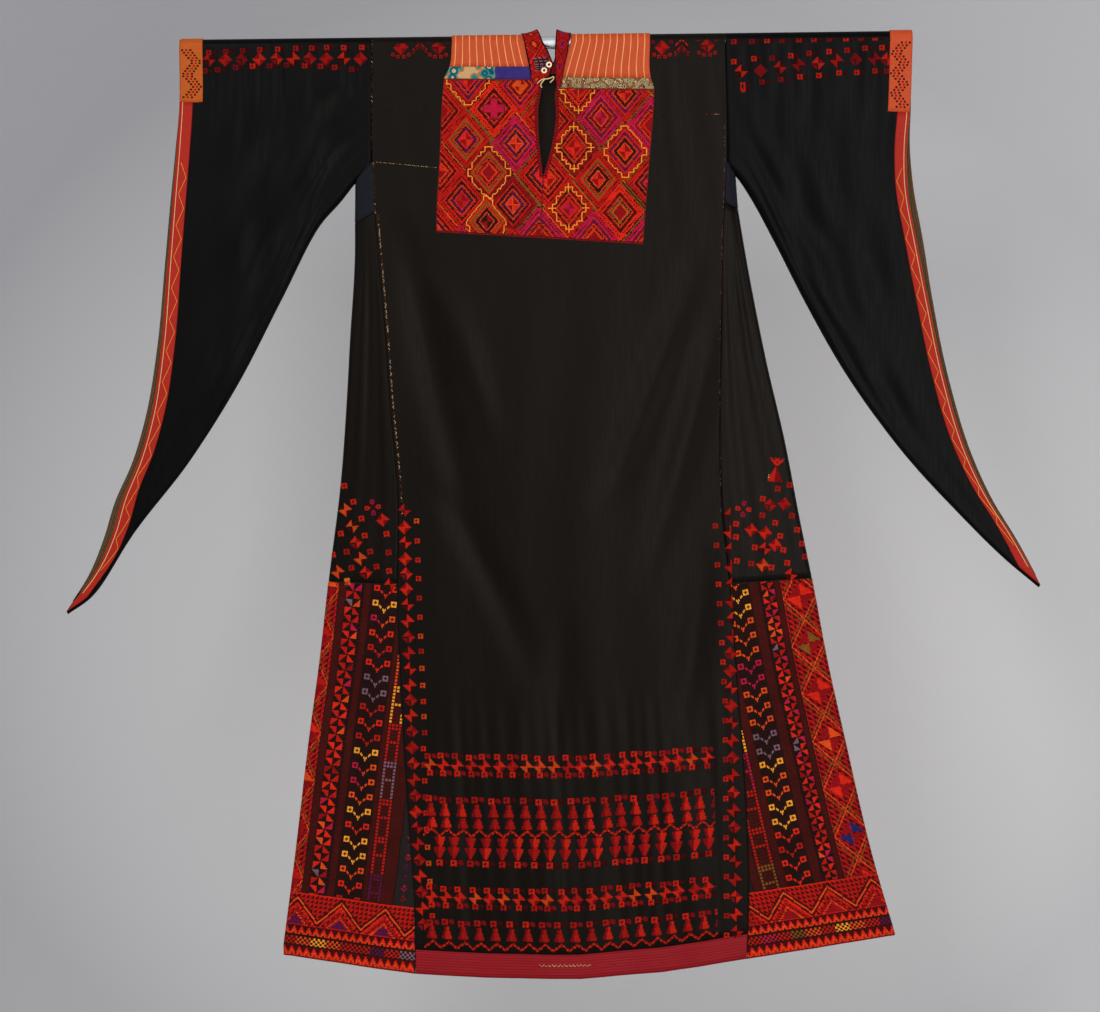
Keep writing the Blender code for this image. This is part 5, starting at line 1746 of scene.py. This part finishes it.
def stitch_panels():
    for side, word in SIDES:
        stitching = Stitching("panel_embroidery_" + word, "side_panel_" + word)
        head = ROWS["side panel head"][1 if side == LEFT else 4]
        hem = ROWS["hem"][1 if side == LEFT else 4]
        widest = float(gore_width(side, hem))
        cols = int(widest / STITCH) + 1
        lean = LEAN[side]
        top = head + RISE[side](head) + widest * math.sin(lean)
        rows = int((top - hem) / (STITCH * math.cos(lean))) + 8
        base = panel_chart(side, rows, cols)
        back = panel_chart(side, rows, cols)
        chart = np.concatenate([back[:, ::-1], base], axis=1)
        us = np.arange(-cols, cols + 1) * STITCH
        u, down = np.meshgrid(us, np.arange(rows + 1) * STITCH)
        grid, seam_z = side_grid(side, u, top - down * math.cos(lean) - np.abs(u) * math.sin(lean))
        centre_z = (seam_z[1:, 1:] + seam_z[:-1, :-1]) / 2
        centre_u = np.abs(u[1:, 1:] + u[:-1, :-1]) / 2
        keep = (centre_z < head - 2) & (centre_z > hem + BORDER) & (centre_u < gore_width(side, centre_z) - 1)
        chart = np.where(keep, chart, -1)
        if side == RIGHT:
            chart, grid = chart[:, ::-1], grid[:, ::-1]
        stitching.add(chart, grid)
        border = border_chart(side, cols)
        chart = np.concatenate([border[:, ::-1], border], axis=1)
        rows = chart.shape[0]
        u, seam_z = np.meshgrid(us, hem + BORDER - 0.4 - np.arange(rows + 1) * STITCH)
        grid = gore(side, u, seam_z)
        centre_z = (seam_z[1:, 1:] + seam_z[:-1, :-1]) / 2
        centre_u = np.abs(u[1:, 1:] + u[:-1, :-1]) / 2
        chart = np.where(centre_u < gore_width(side, centre_z) - 1, chart, -1)
        if side == RIGHT:
            chart, grid = chart[:, ::-1], grid[:, ::-1]
        stitching.add(chart, grid)
        stitching.build()


# Motifs above the left and right panels, in pixels of the photograph: kind, across, down
ABOVE = {
    LEFT: [
        ("square", 344.5, 486), ("square", 353.7, 502), ("square", 361.7, 518.7), ("square", 341, 533.7),
        ("square", 365, 535.7), ("square", 347, 552), ("square", 370.5, 551.7), ("square", 351.7, 568),
        ("square", 377, 566.7), ("star", 345.5, 510), ("star", 352, 527), ("star", 356, 543),
        ("star", 360.7, 558.7),
        ("star", 366, 573), ("petal", 373, 507.5), ("brick", 347.5, 582), ("square", 387, 534),
        ("square", 389, 552.5),
        ("square", 389.5, 571), ("star", 390, 585), ("star", 383, 520), ("square", 333, 555),
        ("star", 338, 572),
    ],
    RIGHT: [
        ("tree", 776, 470), ("square", 789.5, 485), ("square", 777.5, 489), ("star", 784, 504),
        ("star", 769.5, 505.5), ("star", 765, 533), ("star", 764, 549), ("star", 762.5, 565),
        ("square", 762.5, 499),
        ("square", 762, 515.5), ("square", 754.5, 547.5), ("square", 750.7, 563.7), ("square", 771, 567.5),
        ("petal", 743, 509), ("square", 735.7, 524), ("square", 735.7, 537), ("square", 736.5, 561),
        ("square", 775, 523),
        ("square", 792, 516), ("square", 780, 536), ("square", 797, 530), ("square", 783, 550),
        ("square", 802, 544),
        ("square", 787, 563), ("square", 805, 557), ("star", 775, 545), ("star", 751, 530),
        ("star", 790, 575),
    ],
}


PETALS = (
    "....MMM.... ....M.M.... ....MMM.... .....M..... BBB.....BBB B.BB...BB.B "
    "BBB.....BBB .....M..... ....MMM.... ....M.M.... ....MMM...."
)
TREE = (
    "BB..BB.BB..BB .BB..BBB..BB. .BBBBBBBBBBB. ..BBBCCCBBB.. "
    "...BBBCBBB... ....BBBBB.... .....BBB..... ............. "
    ".....BC...... .....BCC..... ....BBCC..... ....BBCCC.... "
    "...BBBCCC.... ...BBBCCCC... ..BBBBCCCC... W.BBBBCCCCC.. "
    ".BBBBBCCCCC.. WBBBBBCCCCCC. BBBBBBCCCCCC. BBBBBBCCCCCCC BBBBBBCCCCCCC"
)


def stitch_gores():
    for side, word in SIDES:
        stitching = Stitching("gore_embroidery_" + word, "side_" + word, shade=0.70)
        surface = gore_at(side)
        for kind, px, py in ABOVE[side]:
            if kind == "square":
                motif = square(shades("B", "B", "R"), "D")[:, :5]
            elif kind == "star":
                motif = windmill(5, shades("B", "B", "R", "O"), shades("C", "D"), bool(rng.integers(2)))
            elif kind == "petal":
                motif = chart_of(PETALS)
            elif kind == "brick":
                motif = chart_of("OYOYO YOYOY OYOYO BBBBB OYOYO YOYOY BBBBB")
            else:
                motif = chart_of(TREE)
            pitch = {"star": 1.85, "petal": 2.2}.get(kind, 1.7)
            put(stitching, surface, motif, px, py, pitch, lean=-side * 0.12)
        stitching.build()


stitch_front()
stitch_sleeves()
stitch_chest()
stitch_collar()
stitch_panels()
stitch_gores()
make_body()
make_sides()
make_sleeves()
make_chest()
make_collar()

# Buttons, tie, seams, piping and the cuffs' needlework


LATHE_SIDES = 28


def lathe(name, profile, centre, material):
    """A ring of profile points, radius and height towards the viewer, round an axis along -Y."""
    angle = np.linspace(0, 2 * math.pi, LATHE_SIDES, endpoint=False)
    profile = np.array(profile, float)
    ring = np.stack(
        [
            profile[:, None, 0] * np.cos(angle),
            -profile[:, None, 1] * np.ones(LATHE_SIDES),
            profile[:, None, 0] * np.sin(angle),
        ],
        axis=-1,
    ) + np.asarray(centre)
    n = len(profile)
    faces = []
    for i in range(n):
        for k in range(LATHE_SIDES):
            j, m = (i + 1) % n, (k + 1) % LATHE_SIDES
            faces.append([i * LATHE_SIDES + k, i * LATHE_SIDES + m, j * LATHE_SIDES + m, j * LATHE_SIDES + k])
    return to_object(name, ring.reshape(-1, 3), faces, material)


BUTTONS = {"button_upper": (1.1, -35.0, 0.3), "button_lower": (-6.2, -43.4, 0.0)}


# A button's radius and height round its rim, from the hole's edge outwards and back
BUTTON_PROFILE = [
    (1.9, -0.9), (4.0, -1.0), (4.35, -0.6), (4.4, 0.3), (4.0, 0.95), (3.3, 1.05), (2.6, 0.7), (2.2, 0.55),
    (1.9, 0.3),
]


def make_buttons():
    for number, (name, (x, z, clearance)) in enumerate(BUTTONS.items()):
        at = body(np.array([x]), np.array([z]))[0]
        out = COLLAR_LAYER + CLOTH + 2 * GAP + 1.0 + clearance
        centre = at + np.array([0, -out, 0])
        ring = lathe(name + "_ring", BUTTON_PROFILE, centre, PAINT["button"])
        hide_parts(name)
        knot = []
        for turn in range(3):
            angle = 0.6 + turn * 1.05 + number
            reach = 1.5
            a = centre + np.array([reach * math.cos(angle), -0.4, reach * math.sin(angle)])
            b = centre + np.array([-reach * math.cos(angle), -0.4, -reach * math.sin(angle)])
            low = np.array([0, 1.4, 0])
            knot.append([a + low, a, (a + b) / 2 + np.array([0, -0.35, 0]), b, b + low])
        thread = tubes(name + "_thread", knot, 0.7, 6, [K[letter] for letter in "NON"])


def collar_face(x, z, out):
    point = body(np.asarray(x, float), np.asarray(z, float))
    point[..., 1] -= COLLAR_LAYER + CLOTH + out
    return point


def make_tie():
    """The cream tie below the buttons, with its loose ends."""
    px = np.array([537.5, 540, 543, 547, 551, 554, 553.5, 550])
    py = np.array([84, 81.5, 79.8, 79.6, 78.6, 77, 80, 83.5])
    path = collar_face(*mm(px, py), 0.8)
    path[-2:, 1] -= 1.2
    second = collar_face(*mm(np.array([545, 542, 540.5, 542]), np.array([79.6, 83, 86, 88.5])), 1.0)
    fine = []
    for points in (path, second):
        at, known = np.linspace(0, 1, 24), np.linspace(0, 1, len(points))
        fine.append(np.stack([np.interp(at, known, points[:, axis]) for axis in range(3)], -1))
    obj = tubes("neck_tie", fine, 0.85, 8, [K["W"], K["W"]])


def running(name, carrier, lines, pitch, length, radius, colours, lean):
    """Hand stitches along measured lines on the cloth."""
    paths, tints = [], []
    for line in lines:
        px, py = np.array(line, float).T
        run = np.concatenate([[0], np.cumsum(np.hypot(np.diff(px), np.diff(py)))]) * PIXEL
        at = pitch / 2
        while at < run[-1] - length:
            own = length * (0.75 + 0.5 * rng.random())
            s = np.linspace(at - own / 2, at + own / 2, 5)
            x, z = mm(np.interp(s, run, px), np.interp(s, run, py))
            dx, dz = x[-1] - x[0], z[-1] - z[0]
            size = math.hypot(dx, dz)
            swing = lean * np.linspace(-0.5, 0.5, 5) * (1 if len(paths) % 2 else -1)
            jitter = 0.25 * rng.standard_normal()
            x = x - dz / size * swing + jitter
            z = z + dx / size * swing
            point = front_at(x, z)
            point[:, 1] -= CLOTH + 0.2 + radius * np.sin(np.linspace(0, math.pi, 5)) * 0.8
            paths.append(point)
            tints.append(K[colours[int(rng.integers(len(colours)))]])
            at += pitch * (0.85 + 0.3 * rng.random())
    obj = tubes(name, paths, radius, 5, tints)
    STITCHERY.setdefault(carrier, []).append(obj)


ZIGZAG = [(540 + 2.05 * k, 962.5 + (1.1 if k % 2 else -1.1)) for k in range(26)]
# Seams sewn by hand: name, carrier, lines in the photo's pixels, then in millimetres each stitch's pitch,
# length and radius, the threads, and the stitches' lean
SEAM_STITCHES = [
    (
        "left_seam_upper", "front_cloth",
        [[(372, 40), (372, 100), (372, 150)], [(373, 150), (374, 185), (375.5, 215)]],
        3.4, 2.2, 0.26, "NVNVWP", 1.8,
    ),
    (
        "left_seam_lower", "front_cloth",
        [[(378, 215), (388, 330), (393, 400), (400, 470), (403, 515)]],
        2.6, 2.1, 0.32, "NVNVWPWW", 2.0,
    ),
    (
        "right_seam", "front_cloth",
        [[(724.5, 120), (724.5, 165), (722, 240), (720, 330), (719.5, 430), (720.5, 515)]],
        2.8, 2.2, 0.32, "PPNGN", 1.2,
    ),
    ("left_piecing", "front_cloth", [[(374, 162), (405, 165), (437, 168)]], 2.9, 1.5, 0.28, "WVW", 0.8),
    (
        "faint_piecing", "front_cloth",
        [[(375, 105), (410, 107), (436, 109)], [(656, 117), (690, 115), (706, 114)]],
        7.0, 1.6, 0.2, "NVN", 0.0,
    ),
    ("right_piecing_mark", "front_cloth", [[(706, 115), (722, 114)]], 2.6, 1.8, 0.3, "IWN", 0.0),
    ("hem_zigzag", "hem_band_cloth", [ZIGZAG], 1.3, 1.4, 0.34, "WWV", 0.0),
    ("hem_dots", "hem_band_cloth", [[(593, 962.5), (640, 961.5), (672, 960)]], 3.0, 1.3, 0.28, "MID", 1.4),
]


def make_seams():
    for seam in SEAM_STITCHES:
        running(*seam)


def opening_line(side, face, share, first, last, count, out):
    """A line along a sleeve's opening, at one share of its depth."""
    points = sleeve(side, face, np.full(count, share), np.linspace(first, last, count))
    points[:, 1] += face * out
    return points


def make_piping():
    top = 2 * CLOTH + GAP
    for side, word in SIDES:

        def trim(name, lines, radius, threads, carrier):
            sides = 5 if len(lines) == 1 else 7
            obj = tubes(name + word, lines, radius, sides, [K[letter] for letter in threads])
            STITCHERY.setdefault(carrier + word + "_cloth", []).append(obj)

        pale = [
            opening_line(side, FRONT, 0.998, 0.0, 1.99, 130, top * 0.55),
            opening_line(side, FRONT, 0.984, 1.0, 1.97, 110, top + 0.15),
        ]
        trim("cuff_piping_", pale, [0.95, 0.5], "VW", "cuff_strip_front_")
        dark = [
            opening_line(side, BACK, 0.999, 0.0, 1.98, 130, top * 0.5),
            opening_line(side, FRONT, 0.931, 1.0, 1.96, 110, top + 0.05),
        ]
        trim("cuff_cord_", dark, [1.0, 0.45], "ND", "cuff_strip_back_")
        ts = np.linspace(1.12, 1.93, 105)
        shares = 0.956 + 0.016 * (2 * np.abs(2 * ((np.arange(len(ts)) / 8) % 1.0) - 1) - 1)
        points = sleeve(side, FRONT, shares, ts)
        points[:, 1] -= top + 0.2
        trim("cuff_zigzag_", [points], 0.42, "Y", "cuff_strip_front_")


def cuff_chart(rows, cols, side):
    """Slanting rows of small crosses, turning back and forth down the cuff's patch."""
    chart = np.full((rows, cols), -1)
    half_period = 14 if side == LEFT else 11
    for row in range(0, rows - 1, 3):
        swing = round(abs((row / half_period) % 2.0 - 1) * (cols - 10))
        for offset, thread in ((0, "N"), (4, "R"), (8, "N")):
            chart[row : row + 2, offset + swing : offset + swing + 2] = K[thread]
    return chart


def stitch_cuffs():
    for side, word in SIDES:
        stitching = Stitching("cuff_crosses_" + word, "cuff_patch_" + word, base=2 * CLOTH + GAP)
        cols, rows = (20, 58) if side == LEFT else (20, 72)
        shares = np.linspace(0.884, 0.990, cols + 1)
        ts = np.linspace(0.06, 0.96, rows + 1)
        grid = sleeve(side, FRONT, shares[None, :], ts[:, None])
        chart = cuff_chart(rows, cols, side)
        if side == LEFT:
            grid, chart = grid[:, ::-1], chart[:, ::-1]
        stitching.add(chart, grid)
        stitching.build()


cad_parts["rod"].data.materials.clear()
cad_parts["rod"].data.materials.append(PAINT["metal"])
make_buttons()
make_tie()
make_seams()
make_piping()
stitch_cuffs()

# Stage, light and camera


FLOOR_Z, FLOOR_REACH = -1.64, 6
WALL_Y, WALL_REACH, WALL_FOOT, WALL_HEAD = 0.55, 3, -2, 1.5
CAMERA_PLACE = (-0.0055, -4.020, -0.6914)
CAMERA_ROLL = 0.706  # the photo is turned by this many degrees against the level rod
CAMERA_LENS = 88.1


def plane(name, corners, material):
    mesh = bpy.data.meshes.new(name)
    mesh.from_pydata(corners, [], [(0, 1, 2, 3)])
    mesh.materials.append(material)
    obj = bpy.data.objects.new(name, mesh)
    bpy.context.scene.collection.objects.link(obj)
    return obj


def floor_paint():
    paint = Paint("pale_floor", Roughness=0.8)
    paint.set("Base Color", paint.mix(paint.noise(2.0, 3), (0.60, 0.61, 0.62), (0.66, 0.67, 0.68)))
    return paint.material


def wall_paint():
    """Pale grey with painted light: lighter towards the lower right, and lighter again round the robe as a
    painted pool of light; clear from behind.
    """
    paint = Paint("pale_wall", Roughness=0.9)
    where = paint.node("TexCoord").outputs["Object"]
    x, _, z = paint.node("SeparateXYZ", {0: where}).outputs
    # Painted light: the wall's colour grows lighter towards the lower right, as if lit from there
    painted_light_slant = paint.math("SUBTRACT", paint.math("MULTIPLY", x, 0.6), paint.math("MULTIPLY", z, 0.4))
    # Painted pool of light: lighter round the robe's lower middle, lifting the wall where the robe shades it
    low = paint.math("ADD", z, 0.80)
    away = paint.math("MULTIPLY_ADD", x, paint.math("MULTIPLY", x, 0.8), paint.math("MULTIPLY", low, low))
    painted_light_pool = paint.math("MULTIPLY", paint.math("SUBTRACT", 1.0, away, clamp=True), 0.60)
    share = paint.math("MULTIPLY_ADD", paint.remap(painted_light_slant, -0.45, 1.0), 0.5, painted_light_pool)
    paint.set("Base Color", paint.mix(share, linear((140, 140, 143)), linear((200, 198, 197))))
    paint.bump(paint.noise(260, 3), 0.1, 0.001)
    behind = paint.node("NewGeometry").outputs["Backfacing"]
    clear = paint.node("BsdfTransparent")
    both = paint.node("MixShader", {0: behind, 1: paint.shader.outputs[0], 2: clear.outputs[0]})
    paint.tree.links.new(both.outputs[0], paint.tree.nodes["Material Output"].inputs["Surface"])
    return paint.material


def make_room():
    turns = ((-1, -1), (1, -1), (1, 1), (-1, 1))
    corners = [(x * FLOOR_REACH, y * FLOOR_REACH, FLOOR_Z) for x, y in turns]
    floor = plane("floor", corners, floor_paint())
    heights = {-1: WALL_FOOT, 1: WALL_HEAD}
    corners = [(x * WALL_REACH, WALL_Y, heights[level]) for x, level in turns]
    wall = plane("wall", corners, wall_paint())
    wall.visible_shadow = False


# Area lamps: place and aim in metres, power in watts, side of the square, colour, and if shadows fall
LAMPS = {
    "key": ((-1.7, -3.8, 1.5), (0, 0, -0.6), 62, 1.5, (1.0, 0.99, 0.97), True),
    "fill": ((1.7, -4.3, 0.0), (0.1, 0, -0.75), 104, 2.8, (0.985, 0.99, 1.0), False),
    "back_left": ((-2.2, 3.0, 1.2), (0, 0, -0.7), 80, 1.8, (1, 1, 1), True),
    "back_right": ((2.4, 3.0, 0.8), (0, 0, -0.7), 70, 1.8, (1, 1, 1), True),
}


def make_lamps():
    for name, (place, aim, power, size, colour, shadows) in LAMPS.items():
        data = bpy.data.lights.new(name, "AREA")
        data.energy = power
        data.shape = "RECTANGLE"
        data.size = data.size_y = size
        data.color = colour
        data.use_shadow = shadows
        obj = bpy.data.objects.new(name, data)
        obj.location = place
        obj.rotation_euler = (Vector(aim) - Vector(place)).to_track_quat("-Z", "Y").to_euler()
        bpy.context.scene.collection.objects.link(obj)
    world = bpy.data.worlds.new("room")
    world.use_nodes = True
    background = world.node_tree.nodes["Background"]
    background.inputs[0].default_value = (0.92, 0.93, 0.96, 1)
    background.inputs[1].default_value = 0.66
    bpy.context.scene.world = world


def make_camera():
    data = bpy.data.cameras.new("camera")
    data.lens = CAMERA_LENS
    data.sensor_width = 36
    data.clip_end = 100
    camera = bpy.data.objects.new("camera", data)
    tilt = Matrix.Rotation(math.radians(CAMERA_ROLL), 4, "Y") @ Matrix.Rotation(math.radians(90), 4, "X")
    camera.matrix_world = Matrix.Translation(CAMERA_PLACE) @ tilt
    bpy.context.scene.collection.objects.link(camera)
    bpy.context.scene.camera = camera
    bpy.context.scene.view_settings.view_transform = "Standard"


make_room()
make_lamps()
make_camera()
